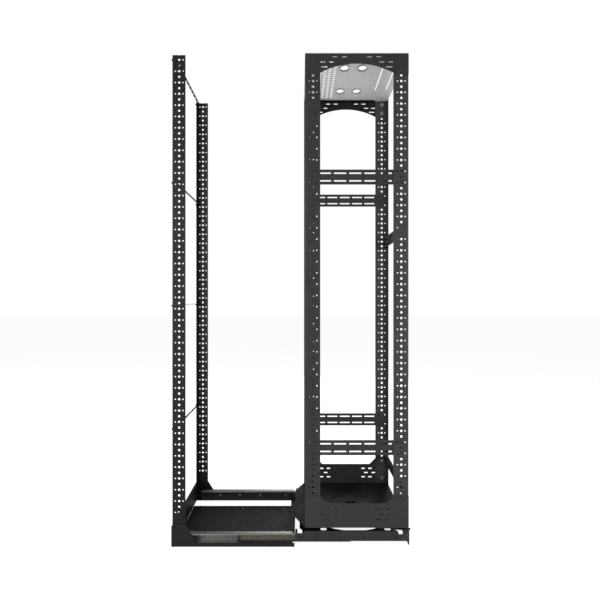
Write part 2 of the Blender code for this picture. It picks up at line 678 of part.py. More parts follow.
def cross_bar(level, mid_z, half_h):
    """A web across the rack's front with a forward flange at each post."""
    (x0, x1), half = CROSS_BAR_X, CROSS_BAR_HALF_W
    profile = [(x1, -half), (x0, -half), (x0, half), (x1, half)]
    folded("cross_bar_" + level, "rack", profile,
           full_panels(profile, (mid_z - half_h, mid_z + half_h)), -SHEET, as_xyz, BLACK)


rack_floor_plate()
for tag, side in SIDES:
    rack_post(tag, side, "back", RACK_X[0], 1)
    rack_post(tag, side, "front", RACK_X[1], -1)
    bottom_plate(tag, side)
    top_plate(tag, side)
    for level, mid_z in BAR_LEVELS:
        lacing_bar(tag, side, level, mid_z)
top_panel()
for level, mid_z, half_h in CROSS_BARS:
    cross_bar(level, mid_z, half_h)
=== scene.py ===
# An open four-post equipment rack on a turntable. The turntable rides on a carriage that
# slides out of a fixed base along +X. +X is the front and -Y the near side; the near and
# far sides mirror each other about y = 0. The floor is at z = 0. Pieces are built in
# millimetres and turned into metres when their meshes are made.
import bpy
import bmesh
import math
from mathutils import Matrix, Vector
from mathutils.geometry import delaunay_2d_cdt


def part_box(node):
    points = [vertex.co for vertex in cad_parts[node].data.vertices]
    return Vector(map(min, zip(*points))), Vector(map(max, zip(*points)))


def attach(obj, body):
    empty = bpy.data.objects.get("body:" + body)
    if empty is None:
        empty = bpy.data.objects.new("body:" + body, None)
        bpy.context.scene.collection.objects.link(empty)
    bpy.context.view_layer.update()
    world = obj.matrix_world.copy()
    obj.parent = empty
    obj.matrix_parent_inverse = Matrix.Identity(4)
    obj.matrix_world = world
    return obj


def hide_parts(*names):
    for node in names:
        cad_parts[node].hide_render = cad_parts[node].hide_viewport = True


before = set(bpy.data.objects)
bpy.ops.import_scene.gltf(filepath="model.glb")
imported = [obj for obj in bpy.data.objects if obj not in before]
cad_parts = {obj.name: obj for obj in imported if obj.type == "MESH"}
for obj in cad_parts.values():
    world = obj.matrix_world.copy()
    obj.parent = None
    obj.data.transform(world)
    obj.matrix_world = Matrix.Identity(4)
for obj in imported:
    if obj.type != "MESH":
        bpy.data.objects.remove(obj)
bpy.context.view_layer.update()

MM = 0.001
SIDES = (("near", -1), ("far", 1))
UP = (0, 0, 1)
FRONTWARD = (1, 0, 0)
BACKWARD = (-1, 0, 0)


class Box:
    """A CAD piece's bounds in millimetres, and their middle (x, y, z)."""

    def __init__(self, node):
        low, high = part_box(node)
        self.x0, self.y0, self.z0 = (round(v * 1000, 2) for v in low)
        self.x1, self.y1, self.z1 = (round(v * 1000, 2) for v in high)
        self.x = (self.x0 + self.x1) / 2
        self.y = (self.y0 + self.y1) / 2
        self.z = (self.z0 + self.z1) / 2


turntable = Box("bearing_lower_ring")
TURN_X = turntable.x


# =====================================================================
# shader nodes
# =====================================================================
class Nodes:
    """Adds and joins shader nodes in one tree."""

    def __init__(self, tree):
        self.tree = tree

    def feed(self, socket, value):
        """Link a socket to another node's output, or give it a value."""
        if isinstance(value, bpy.types.NodeSocket):
            self.tree.links.new(value, socket)
        else:
            socket.default_value = value

    def node(self, kind, inputs={}, **settings):
        node = self.tree.nodes.new("ShaderNode" + kind)
        for key, value in settings.items():
            setattr(node, key, value)
        for key, value in inputs.items():
            self.feed(node.inputs[key], value)
        return node

    def ramp(self, value, *stops):
        """Colours by value. Each stop is (position, colour)."""
        node = self.node("ValToRGB", {"Fac": value})
        elements = node.color_ramp.elements
        for element, (position, colour) in zip(elements, (stops[0], stops[-1])):
            element.position = position
            element.color = (*colour, 1)
        for position, colour in stops[1:-1]:
            elements.new(position).color = (*colour, 1)
        return node.outputs["Color"]

    def span(self, value, between, to=(0.0, 1.0)):
        return self.node("MapRange", {
            "From Min": between[0], "From Max": between[1],
            "To Min": to[0], "To Max": to[1], "Value": value}).outputs["Result"]


class Surface(Nodes):
    """A material whose textures are laid in object coordinates (metres)."""

    def __init__(self, name):
        self.material = bpy.data.materials.new(name)
        self.material.use_nodes = True
        super().__init__(self.material.node_tree)
        self.shader = self.tree.nodes["Principled BSDF"]
        self.place = self.node("TexCoord").outputs["Object"]

    def mapped(self, scale=(1, 1, 1), location=(0, 0, 0)):
        return self.node("Mapping", {"Scale": scale, "Location": location,
                                     "Vector": self.place}).outputs["Vector"]

    def noise(self, scale, detail, rough, place=None):
        return self.node("TexNoise", {
            "Scale": scale, "Detail": detail, "Roughness": rough,
            "Vector": place or self.place}).outputs["Fac"]

    def voronoi(self, scale, feature="F1", output="Distance"):
        node = self.node("TexVoronoi", feature=feature)
        self.feed(node.inputs["Scale"], scale)
        self.feed(node.inputs["Vector"], self.place)
        return node.outputs[output]

    def math(self, operation, a, b):
        return self.node("Math", {0: a, 1: b}, operation=operation).outputs[0]

    def times(self, a, b):
        return self.math("MULTIPLY", a, b)

    def mix(self, base, colour, mask, amount=None):
        """Lay a colour over the base where the mask is high, at most by amount."""
        if amount is not None:
            mask = self.times(mask, amount)
        node = self.node("Mix", {"Factor": mask}, data_type="RGBA")
        ends = [socket for socket in node.inputs if socket.type == "RGBA"]
        self.feed(ends[0], base)
        self.feed(ends[1], (*colour, 1))
        return [socket for socket in node.outputs if socket.type == "RGBA"][0]

    def rim(self):
        """1 on the cut edges of sheet and in screw sockets, 0 elsewhere."""
        return self.node("Attribute", attribute_name="rim").outputs["Fac"]

    def worn_edge(self, scale, detail, rough, between):
        return self.times(self.rim(), self.span(self.noise(scale, detail, rough), between))

    def facing_up(self):
        normal = self.node("NewGeometry").outputs["Normal"]
        height = self.node("SeparateXYZ", {0: normal}).outputs["Z"]
        return self.span(height, between=(0.35, 0.95))

    def bump(self, height, strength, distance, normal=None):
        inputs = {"Strength": strength, "Distance": distance, "Height": height}
        if normal:
            inputs["Normal"] = normal
        return self.node("Bump", inputs).outputs["Normal"]

    def finish(self, colour, rough, normal, metal=0.0, specular=0.5):
        for key, value in (("Base Color", colour), ("Roughness", rough), ("Normal", normal),
                           ("Metallic", metal), ("Specular IOR Level", specular)):
            self.feed(self.shader.inputs[key], value)
        return self.material


# =====================================================================
# materials
# =====================================================================
def shade(tone, factor):
    return tuple(min(1, c * factor) for c in tone)


def powder_coat(name, tone, edge_grey, rough, seed, dust, specular, rubs):
    """Fine-textured black powder coat with orange peel, worn edges and dust on top."""
    mat = Surface(name)
    drift = mat.noise(scale=3.1 + seed, detail=3, rough=0.55)
    speck = mat.noise(scale=620.0, detail=2, rough=0.6)
    base = mat.ramp(drift, (0.30, shade(tone, 0.82)), (0.70, shade(tone, 1.22)))
    base = mat.mix(base, shade(tone, 1.9), mat.span(speck, between=(0.60, 0.78)), amount=0.45)
    # long faint handling marks
    rub = mat.noise(scale=9.0, detail=6, rough=0.7, place=mat.mapped(scale=(1.0, 1.0, 0.12)))
    base = mat.mix(base, shade(tone, 2.2), mat.span(rub, between=(0.57, 0.72)), amount=rubs)
    worn = mat.worn_edge(scale=55.0, detail=5, rough=0.65, between=(0.42, 0.66))
    base = mat.mix(base, (edge_grey,) * 3, worn, amount=0.85)
    patches = mat.noise(scale=14.0, detail=5, rough=0.6)
    settled = mat.times(mat.facing_up(), mat.span(patches, between=(0.35, 0.75)))
    base = mat.mix(base, (0.034, 0.0335, 0.032), settled, amount=dust)
    gloss = mat.noise(scale=38.0, detail=4, rough=0.6)
    roughness = mat.span(gloss, between=(0.3, 0.7), to=rough)
    roughness = mat.math("SUBTRACT", roughness, mat.times(worn, 0.10))
    roughness = mat.math("ADD", roughness, mat.times(settled, 0.12))
    peel = mat.noise(scale=430.0, detail=2, rough=0.5)
    grain = mat.voronoi(scale=900.0)
    normal = mat.bump(peel, strength=0.22, distance=0.0004)
    normal = mat.bump(grain, strength=0.10, distance=0.0002, normal=normal)
    return mat.finish(base, roughness, normal, specular=specular)


def rolled_zinc(name, tone, warm):
    """Zinc plate on rolled steel: streaks and scratches along x, slow drift in tone."""
    mat = Surface(name)
    streak = mat.noise(scale=9.0, detail=5, rough=0.62, place=mat.mapped(scale=(1.4, 26.0, 26.0)))
    drift = mat.noise(scale=4.2, detail=3, rough=0.5)
    base = mat.ramp(streak, (0.25, shade(tone, 0.80)), (0.5, tone), (0.78, shade(tone, 1.14)))
    base = mat.mix(base, warm, mat.span(drift, between=(0.35, 0.7), to=(0.0, 0.55)))
    spots = mat.span(mat.noise(scale=120.0, detail=3, rough=0.7), between=(0.66, 0.80))
    base = mat.mix(base, shade(tone, 0.55), spots, amount=0.35)
    worn = mat.worn_edge(scale=80.0, detail=4, rough=0.6, between=(0.4, 0.7))
    base = mat.mix(base, shade(tone, 0.45), worn, amount=0.5)
    roughness = mat.span(streak, between=(0.25, 0.75), to=(0.30, 0.46))
    roughness = mat.math("ADD", roughness, mat.times(spots, 0.15))
    scratch = mat.noise(scale=40.0, detail=3, rough=0.6, place=mat.mapped(scale=(3.0, 60.0, 60.0)))
    normal = mat.bump(scratch, strength=0.18, distance=0.0002)
    return mat.finish(base, roughness, normal, metal=0.85)


def spangled_light_grey(name, tone):
    """Light grey spangled sheet: crystal spangle, cloudy drift, soft sheen; used as a painted
    reflection of the bright floor.
    """
    mat = Surface(name)
    cells = mat.voronoi(scale=70.0, output="Color")
    spangle = mat.node("RGBToBW", {0: cells}).outputs[0]
    drift = mat.noise(scale=5.0, detail=4, rough=0.55)
    base = mat.ramp(spangle, (0.15, shade(tone, 0.93)), (0.85, shade(tone, 1.05)))
    clouds = mat.span(drift, between=(0.35, 0.7), to=(0.0, 0.4))
    base = mat.mix(base, shade(tone, 0.9), clouds)
    worn = mat.worn_edge(scale=80.0, detail=4, rough=0.6, between=(0.4, 0.7))
    base = mat.mix(base, shade(tone, 0.5), worn, amount=0.5)
    roughness = mat.span(spangle, between=(0.1, 0.9), to=(0.42, 0.58))
    pitting = mat.noise(scale=260.0, detail=3, rough=0.5)
    normal = mat.bump(pitting, strength=0.12, distance=0.0002)
    return mat.finish(base, roughness, normal, metal=0.15)


def turned_metal(name, tone, dark, rough):
    """Machined metal: fine tool rings round the turntable's axis, stained patches."""
    mat = Surface(name)
    from_axis = mat.mapped(location=(-TURN_X / 1000, -turntable.y / 1000, 0))
    x, y, z = mat.node("SeparateXYZ", {0: from_axis}).outputs
    radius = mat.math("SQRT", mat.math("ADD", mat.times(x, x), mat.times(y, y)), 0.0)
    section = mat.node("CombineXYZ", {0: mat.times(radius, 1.0), 2: mat.times(z, 1.0)})
    rings = mat.noise(scale=900.0, detail=3, rough=0.6, place=section.outputs[0])
    stain = mat.noise(scale=32.0, detail=4, rough=0.6)
    base = mat.ramp(rings, (0.3, shade(tone, 0.86)), (0.7, tone))
    base = mat.mix(base, dark, mat.span(stain, between=(0.48, 0.75), to=(0.0, 0.7)))
    roughness = mat.span(rings, between=(0.3, 0.7), to=rough)
    normal = mat.bump(rings, strength=0.25, distance=0.0001)
    return mat.finish(base, roughness, normal, metal=1.0)


def plated_screw(name, tone, dark, metal, rough):
    """Small plated hardware: mottled plating, with painted shade in the recesses."""
    mat = Surface(name)
    mottle = mat.noise(scale=260.0, detail=4, rough=0.6)
    patches = mat.noise(scale=11.0, detail=1, rough=0.5)
    base = mat.ramp(mottle, (0.3, shade(tone, 0.78)), (0.7, tone))
    base = mat.mix(base, dark, mat.span(patches, between=(0.35, 0.65), to=(0.0, 0.45)))
    # painted shade in the screw sockets
    base = mat.mix(base, shade(dark, 0.35), mat.rim(), amount=0.8)
    roughness = mat.span(mottle, between=(0.3, 0.7), to=rough)
    pitting = mat.noise(scale=700.0, detail=2, rough=0.5)
    normal = mat.bump(pitting, strength=0.2, distance=0.0002)
    return mat.finish(base, roughness, normal, metal=metal)


def moulded(name, tone):
    """Moulded vinyl: fine leather-like grain, soft sheen."""
    mat = Surface(name)
    drift = mat.noise(scale=16.0, detail=4, rough=0.6)
    base = mat.ramp(drift, (0.3, shade(tone, 0.8)), (0.7, shade(tone, 1.3)))
    grain = mat.voronoi(scale=1100.0, feature="SMOOTH_F1")
    sheen = mat.noise(scale=60.0, detail=3, rough=0.5)
    roughness = mat.span(sheen, between=(0.3, 0.7), to=(0.42, 0.62))
    normal = mat.bump(grain, strength=0.35, distance=0.0003)
    return mat.finish(base, roughness, normal, specular=0.45)


# name: tone, worn-edge grey, roughness range, seed, dust, specular, handling rubs
COAT_TABLE = {
    "base": ((0.0052, 0.0052, 0.0054), 0.034, (0.40, 0.56), 0.0, 0.10, 0.34, 0.12),
    "pan": ((0.0072, 0.0072, 0.0074), 0.038, (0.50, 0.62), 0.4, 0.10, 0.26, 0.06),
    "turntable": ((0.0075, 0.0075, 0.0077), 0.040, (0.50, 0.64), 1.9, 0.08, 0.20, 0.06),
    "post": ((0.0042, 0.0042, 0.0044), 0.030, (0.40, 0.56), 0.7, 0.10, 0.30, 0.12),
    "rack": ((0.0188, 0.0188, 0.0192), 0.060, (0.40, 0.56), 1.3, 0.05, 0.50, 0.12),
    "strip": ((0.0038, 0.0038, 0.0040), 0.026, (0.55, 0.68), 2.7, 0.05, 0.16, 0.05),
    # front rack posts: the rack coat made lighter than on the back posts, painted light
    "front_post": ((0.0300, 0.0300, 0.0306), 0.070, (0.40, 0.56), 3.3, 0.05, 0.50, 0.12),
    "carriage": ((0.0135, 0.0135, 0.0138), 0.050, (0.40, 0.56), 2.1, 0.06, 0.50, 0.12),
}
COAT = {name: powder_coat(name + "_powder_coat", *row) for name, row in COAT_TABLE.items()}
OUTER_ZINC = rolled_zinc("outer_slide_zinc", tone=(0.34, 0.345, 0.325), warm=(0.30, 0.295, 0.255))
# middle slide zinc darker and warmer than the outer and inner slides: painted shade inside the outer
# channel
SHADED_MIDDLE_ZINC = rolled_zinc("middle_slide_zinc", tone=(0.20, 0.181, 0.165), warm=(0.17, 0.15, 0.127))
INNER_ZINC = rolled_zinc("inner_slide_zinc", tone=(0.33, 0.325, 0.30), warm=(0.28, 0.265, 0.23))
# light grey tone for the top panel's underside: painted reflection of the bright floor below
FLOOR_REFLECTION_GREY = spangled_light_grey("panel_galvanised", tone=(0.745, 0.745, 0.74))
STEEL = turned_metal("bearing_steel", tone=(0.46, 0.46, 0.47), dark=(0.24, 0.225, 0.20),
                     rough=(0.22, 0.38))
BRASS = turned_metal("cage_brass_metal", tone=(0.62, 0.45, 0.18), dark=(0.34, 0.22, 0.08),
                     rough=(0.28, 0.42))
SCREW = plated_screw("zinc_screws", tone=(0.24, 0.24, 0.23), dark=(0.16, 0.155, 0.14),
                     metal=0.9, rough=(0.28, 0.45))
DARK_ZINC = plated_screw("dark_plated_nuts", tone=(0.34, 0.34, 0.33), dark=(0.24, 0.235, 0.22),
                         metal=0.7, rough=(0.3, 0.45))
# near-black screws, darkened further as painted shade under their heads
BLACK_SHADED_SCREW = plated_screw("black_screws", tone=(0.0050, 0.0050, 0.0052),
                           dark=(0.0030, 0.0030, 0.0030), metal=0.0, rough=(0.48, 0.62))
VINYL = moulded("black_vinyl", tone=(0.012, 0.012, 0.012))
GREY_VINYL = moulded("grey_edging_vinyl", tone=(0.34, 0.34, 0.335))


# =====================================================================
# flat outlines
# =====================================================================
def rect(u0, u1, v0, v1):
    return [(u0, v0), (u1, v0), (u1, v1), (u0, v1)]


def box_rect(box, axes):
    """A box's rectangle in the plane of two named axes."""
    ends = [getattr(box, axis + end) for axis in axes for end in "01"]
    return rect(*ends)


def arc(u, v, radius, start, end, steps):
    angles = [start + (end - start) * i / steps for i in range(steps + 1)]
    return [(u + radius * math.cos(a), v + radius * math.sin(a)) for a in angles]


def ellipse(u, v, radius_u, radius_v, n=28, turn=0.5):
    """turn sets the first point, in steps between points."""
    angles = [2 * math.pi * (i + turn) / n for i in range(n)]
    return [(u + radius_u * math.cos(a), v + radius_v * math.sin(a)) for a in angles]


def circle(u, v, radius, n=14, turn=0.5):
    return ellipse(u, v, radius, radius, n, turn)


def stadium(u0, u1, v0, v1, n=5):
    """A slot with round ends along its longer side."""
    if u1 - u0 < v1 - v0:
        return [(b, a) for a, b in stadium(v0, v1, u0, u1, n)][::-1]
    radius = (v1 - v0) / 2
    middle = (v0 + v1) / 2
    quarter = math.pi / 2
    return (arc(u1 - radius, middle, radius, -quarter, quarter, n)
            + arc(u0 + radius, middle, radius, quarter, 3 * quarter, n))


def rounded(loop, radii, n=4):
    """A polygon with corner i rounded by radii[i], or by one radius for all."""
    out = []
    for i, point in enumerate(loop):
        radius = radii[i] if isinstance(radii, list) else radii
        corner = Vector(point)
        back = Vector(loop[i - 1]) - corner
        ahead = Vector(loop[(i + 1) % len(loop)]) - corner
        shortest = 0.48 * min(back.length, ahead.length)
        back.normalize()
        ahead.normalize()
        angle = math.acos(max(-1, min(1, back.dot(ahead))))
        if radius <= 0 or angle > math.pi - 0.02:
            out.append((corner.x, corner.y))
            continue
        inset = min(radius / math.tan(angle / 2), shortest)
        radius = inset * math.tan(angle / 2)
        centre = corner + (back + ahead).normalized() * (radius / math.sin(angle / 2))
        first = corner + back * inset - centre
        last = corner + ahead * inset - centre
        start = math.atan2(first.y, first.x)
        end = math.atan2(last.y, last.x)
        sweep = (end - start + math.pi) % (2 * math.pi) - math.pi
        out += arc(centre.x, centre.y, radius, start, start + sweep, n)
    return out


def inside(point, loop):
    hit = False
    for a, b in zip(loop, loop[-1:] + loop[:-1]):
        if (a[1] > point[1]) != (b[1] > point[1]):
            if point[0] < (b[0] - a[0]) * (point[1] - a[1]) / (b[1] - a[1]) + a[0]:
                hit = not hit
    return hit


def fill(outline, holes):
    """Points and anticlockwise triangles that fill an outline around its holes."""
    points, edges, owner = [], [], []
    for k, loop in enumerate([outline, *holes]):
        start = len(points)
        points += [Vector(p) for p in loop]
        owner += [k] * len(loop)
        edges += [(start + i, start + (i + 1) % len(loop)) for i in range(len(loop))]
    _, _, faces, sources, _, _ = delaunay_2d_cdt(points, edges, [], 0, 1e-6)
    triangles = []
    for face in faces:
        tri = [sources[i][0] for i in face]
        a, b, c = (points[i] for i in tri)
        area = (b.x - a.x) * (c.y - a.y) - (b.y - a.y) * (c.x - a.x)
        middle = ((a.x + b.x + c.x) / 3, (a.y + b.y + c.y) / 3)
        owners = {owner[i] for i in tri}
        if len(owners) == 1 and 0 not in owners and inside(middle, holes[owners.pop() - 1]):
            continue
        if not inside(middle, outline) or abs(area) < 1e-7:
            continue
        triangles.append(tuple(tri) if area > 0 else (tri[0], tri[2], tri[1]))
    return points, triangles


def turned(vector, angle):
    cos, sin = math.cos(angle), math.sin(angle)
    return Vector((vector.x * cos - vector.y * sin, vector.x * sin + vector.y * cos))


def laid(axes, side=1):
    """Reads a shape's coordinates as the named axes; w is y towards the given side."""
    x, y, z = (axes.replace("w", "y").index(axis) for axis in "xyz")
    return lambda *p: (p[x], side * p[y], p[z])


def flap(length, v0, v1, holes=()):
    """One rectangular run of a folded sheet."""
    return [(rect(0, length, v0, v1), holes)]


# =====================================================================
# solid pieces
# =====================================================================
BEND_STEPS = 4


class Part:
    """Faces of one visible piece, in millimetres, with cut edges marked as rims."""

    def __init__(self):
        self.verts, self.faces, self.rims = [], [], []

    def put(self, verts, faces, rims=None):
        start = len(self.verts)
        self.verts += [tuple(p) for p in verts]
        self.faces += [tuple(i + start for i in face) for face in faces]
        self.rims += rims or [0.0] * len(faces)
        return self

    def prism(self, outline, holes, w0, w1, place):
        """A flat plate with holes, from w0 to w1."""
        flat, triangles = fill(outline, holes)
        n = len(flat)
        verts = [place(p.x, p.y, w) for w in (w0, w1) for p in flat]
        faces = [t[::-1] for t in triangles] + [tuple(i + n for i in t) for t in triangles]
        rims = [0.0] * len(faces)
        start = 0
        for loop in [outline, *holes]:
            m = len(loop)
            for i in range(m):
                a, b = start + i, start + (i + 1) % m
                faces.append((a, b, b + n, a + n))
                rims.append(1.0)
            start += m
        return self.put(verts, faces, rims)

    def folded(self, profile, panels, thickness, bend, place):
        """A folded sheet with round bends.

        profile holds the outer face's sharp corners. The thickness lies to its left, or
        to its right if negative; bend is the inside radius. panels holds, for each
        straight run, (outline, holes) pairs in (distance along the run, length v).
        """
        corners = [Vector(p) for p in profile]
        runs = [b - a for a, b in zip(corners, corners[1:])]
        lengths = [run.length for run in runs]
        ways = [run.normalized() for run in runs]
        side = 1.0 if thickness > 0 else -1.0
        thick = abs(thickness)
        inward = [Vector((-way.y, way.x)) * side for way in ways]
        # what each bend takes off the start and end of the runs that meet there
        start_cut, end_cut = [0.0] * len(runs), [0.0] * len(runs)
        bends = []
        for i, (a, b) in enumerate(zip(ways, ways[1:])):
            turn = math.atan2(a.x * b.y - a.y * b.x, a.dot(b))
            radius = (bend + thick) if turn * side > 0 else bend
            inset = radius * math.tan(abs(turn) / 2)
            end_cut[i] = start_cut[i + 1] = inset
            bends.append((turn, radius, inset))
        known, outer, inner, triangles = {}, [], [], []

        def vert(point, normal, v):
            key = (round(point.x, 2), round(point.y, 2), round(v, 2))
            if key not in known:
                known[key] = len(outer)
                outer.append((point.x, point.y, v))
                back = point + normal * thick
                inner.append((back.x, back.y, v))
            return known[key]

        def bend_strip(k, v0, v1):
            """The round bend between runs k and k + 1."""
            turn, radius, inset = bends[k]
            corner = corners[k + 1]
            start = corner - ways[k] * inset
            hand = 1.0 if turn > 0 else -1.0
            centre = start + Vector((-ways[k].y, ways[k].x)) * hand * radius
            rows = []
            for j in range(BEND_STEPS + 1):
                angle = turn * j / BEND_STEPS
                if j == 0:
                    point = start
                elif j == BEND_STEPS:
                    point = corner + ways[k + 1] * inset
                else:
                    point = centre + turned(start - centre, angle)
                normal = turned(inward[k], angle)
                rows.append((vert(point, normal, v0), vert(point, normal, v1)))
            for (a0, a1), (b0, b1) in zip(rows, rows[1:]):
                triangles.extend([(a0, b0, b1), (a0, b1, a1)])

        for k, pieces in enumerate(panels):
            low, high = start_cut[k], lengths[k] - end_cut[k]

            def clamp(loop):
                return [(min(max(s, low), high), v) for s, v in loop]

            for outline, holes in pieces:
                flat, tris = fill(clamp(outline), [clamp(hole) for hole in holes])
                ids = [vert(corners[k] + ways[k] * p.x, inward[k], p.y) for p in flat]
                triangles += [tuple(ids[i] for i in tri) for tri in tris]
                here = [v for s, v in outline if s >= lengths[k] - 0.011]
                if k + 1 == len(runs) or not here:
                    continue
                for next_outline, _ in panels[k + 1]:
                    there = [v for s, v in next_outline if s <= 0.011]
                    if not there:
                        continue
                    v0, v1 = max(min(here), min(there)), min(max(here), max(there))
                    if v1 - v0 >= 0.01:
                        bend_strip(k, v0, v1)
        n = len(outer)
        edges = dict.fromkeys((tri[i], tri[(i + 1) % 3]) for tri in triangles for i in range(3))
        faces = triangles + [tuple(i + n for i in tri[::-1]) for tri in triangles]
        rims = [0.0] * len(faces)
        for a, b in edges:
            if (b, a) not in edges:
                faces.append((b, a, a + n, b + n))
                rims.append(1.0)
        return self.put([place(*p) for p in outer + inner], faces, rims)

    def lathe(self, profile, at, axis, n, rims=None):
        """A solid of revolution. profile: (radius, height along the axis)."""
        z = Vector(axis).normalized()
        x = Vector((1, 0, 0)) if abs(z.x) < 0.9 else Vector((0, 1, 0))
        x = (x - z * x.dot(z)).normalized()
        y = z.cross(x)
        verts, rings = [], []
        for radius, height in profile:
            middle = Vector(at) + z * height
            if radius == 0:
                rings.append([len(verts)] * n)
                verts.append(middle)
                continue
            rings.append(list(range(len(verts), len(verts) + n)))
            for i in range(n):
                a = 2 * math.pi * i / n
                verts.append(middle + (x * math.cos(a) + y * math.sin(a)) * radius)
        faces, marks = [], []
        m = len(profile)
        for k in range(m):
            if profile[k][0] == 0 and profile[(k + 1) % m][0] == 0:
                continue
            low, high = rings[k], rings[(k + 1) % m]
            for i in range(n):
                j = (i + 1) % n
                # a quad that touches the axis becomes a triangle
                faces.append(tuple(dict.fromkeys((low[i], low[j], high[j], high[i]))))
                marks.append(rims[k] if rims else 0.0)
        return self.put(verts, faces, marks)

    def pan_head(self, at, axis, r, h):
        """A pan-head screw with a socket."""
        profile = [(0, 0), (r, 0), (r, h * 0.35), (r * 0.93, h * 0.72), (r * 0.74, h * 0.95),
                   (r * 0.52, h), (r * 0.45, h), (r * 0.42, h * 0.35), (0, h * 0.30)]
        return self.lathe(profile, at, axis, 18, [0, 0, 0, 0, 0, 0, 1, 1, 1])

    def hex_nut(self, at, axis, r, h, washer, stud):
        """A hexagon nut on a washer with the end of its stud showing."""
        self.lathe([(0, 0), (washer, 0), (washer, 1.0), (washer * 0.96, 1.3), (0, 1.3)],
                   at, axis, 22)
        way = Vector(axis).normalized()
        seat = Vector(at) + way * 1.35
        self.lathe([(0, 0), (r, 0), (r, h * 0.84), (r * 0.88, h), (0, h)], seat, axis, 6)
        return self.lathe([(0, 0), (r * 0.5, 0), (r * 0.5, stud * 0.75), (r * 0.4, stud),
                           (0, stud)], seat + way * (h + 0.05), axis, 14)

    def emit(self, name, body, material, slot="black_coat", cad=None, angle=35.0):
        """Make the object, which stands in for the CAD piece if one is named."""
        mesh = bpy.data.meshes.new("vis_" + name)
        bm = bmesh.new()
        layer = bm.faces.layers.float.new("rim")
        verts = [bm.verts.new((x * MM, y * MM, z * MM)) for x, y, z in self.verts]
        for ids, rim in zip(self.faces, self.rims):
            face = bm.faces.new([verts[i] for i in ids])
            face[layer] = rim
        if any(len(edge.link_faces) != 2 for edge in bm.edges):
            raise RuntimeError(name + " has open edges")
        bmesh.ops.recalc_face_normals(bm, faces=bm.faces)
        bm.to_mesh(mesh)
        bm.free()
        mesh.materials.append(material)
        mesh.shade_smooth()
        mesh.set_sharp_from_angle(angle=math.radians(angle))
        ob = bpy.data.objects.new("vis_" + name, mesh)
        bpy.context.scene.collection.objects.link(ob)
        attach(ob, body)
        if cad:
            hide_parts(cad)

    def stand_in(self, name, body, material, slot="black_coat", angle=35.0):
        """Make the object that replaces the CAD piece of the same name."""
        self.emit(name, body, material, slot, name, angle)


# =====================================================================
# fixed base
# =====================================================================
# floor pan
floor_pan = Box("floor_pan")
PAN_SCREWS = [(x, y) for x in (-190.0, 0.0, 190.0) for y in (-118.0, 118.0)]
part = Part().prism(rounded(box_rect(floor_pan, "xy"), 5.0),
                    [circle(x, y, 3.3) for x, y in PAN_SCREWS],
                    floor_pan.z0 + 0.02, floor_pan.z1, laid("xyz"))
part.stand_in("floor_pan", "fixed_base", COAT["pan"])

# side panels: raised at the back, sloping down to a low strip
side_panel = Box("side_panel_far")
FOOT = 32
STRIP_TOP = 17.0
SLOPE_X = (-187.6, -143.6)
height = side_panel.z1 - side_panel.z0
strip = STRIP_TOP - side_panel.z0
x0, x1 = side_panel.x0, side_panel.x1
wall = rounded([(0, x0), (height, x0), (height, SLOPE_X[0]), (strip, SLOPE_X[1]),
                (strip, x1), (0, x1)], [0, 4, 10, 14, 3, 0], 5)
foot_slots = [stadium(6, 14, x - 14, x + 14) for x in (-200, -60, 60, 200)]
for tag, side in SIDES:
    part = Part().folded([(side_panel.y1 - FOOT, side_panel.z0), (side_panel.y1, side_panel.z0),
                          (side_panel.y1, side_panel.z1)],
                         [flap(FOOT, x0, x1, foot_slots), [(wall, [])]],
                         2.0, 1.6, laid("wzx", side))
    part.stand_in("side_panel_" + tag, "fixed_base", COAT["base"])

# slide rails: angles that carry the outer slides
rail = Box("slide_rail_far")
RAIL_SCREW_X = (-120.6, -25.6, 71.4, 196.4)
SCREW_DROP = 28.5  # from the top edge
for tag, side in SIDES:
    height = rail.z1 - rail.z0
    holes = [circle(height - (rail.z1 - rail.z0 - (rail.z1 - SCREW_DROP)), x, 3.2, 12)
             for x in RAIL_SCREW_X]
    part = Part().folded([(rail.y0, rail.z1), (rail.y0, rail.z0), (rail.y1, rail.z0)],
                         [flap(height, rail.x0, rail.x1, holes),
                          flap(rail.y1 - rail.y0, rail.x0, rail.x1)],
                         2.0, 1.4, laid("wzx", side))
    part.stand_in("slide_rail_" + tag, "fixed_base", COAT["base"])

# outer slides: channels open outwards, with a short lip at the top
outer_slide = Box("slide_outer_far")
LIP = 3.3
for tag, side in SIDES:
    z0, z1, w0, w1 = outer_slide.z0, outer_slide.z1, outer_slide.y0, outer_slide.y1
    ends = (outer_slide.x0, outer_slide.x1)
    holes = [circle(z1 - SCREW_DROP, x, 3.2, 12) for x in RAIL_SCREW_X]
    part = Part().folded([(w1, z1 - LIP), (w1, z1), (w0, z1), (w0, z0), (w1, z0)],
                         [flap(LIP, *ends), flap(w1 - w0, *ends), flap(z1 - z0, *ends, holes),
                          flap(w1 - w0, *ends)], 2.4, 0.7, laid("wzx", side))
    part.stand_in("slide_outer_" + tag, "fixed_base", OUTER_ZINC, "zinc")

# back posts: one main column of holes at half-unit pitch, and a pair of small holes
# beside every second one
UNIT = 44.45
HALF_UNIT = UNIT / 2
UNIT_HOLES = (6.35, 22.225, 38.1)  # the three rail holes of a unit


def rail_heights(bottom, units):
    return [bottom + UNIT * u + offset for u in range(units) for offset in UNIT_HOLES]


back_post = Box("back_post_far")
BACK_WEB = 52
BACK_COLUMN = 27.3
BACK_TOP_HOLE = 1935.8
holes = []
for i in range(1, 82):
    z = BACK_TOP_HOLE - HALF_UNIT * i
    holes.append(circle(BACK_COLUMN, z, 4.7))
    if i % 2:
        holes += [circle(BACK_COLUMN + off, z, 3.0, 10) for off in (-15.1, 15.1)]
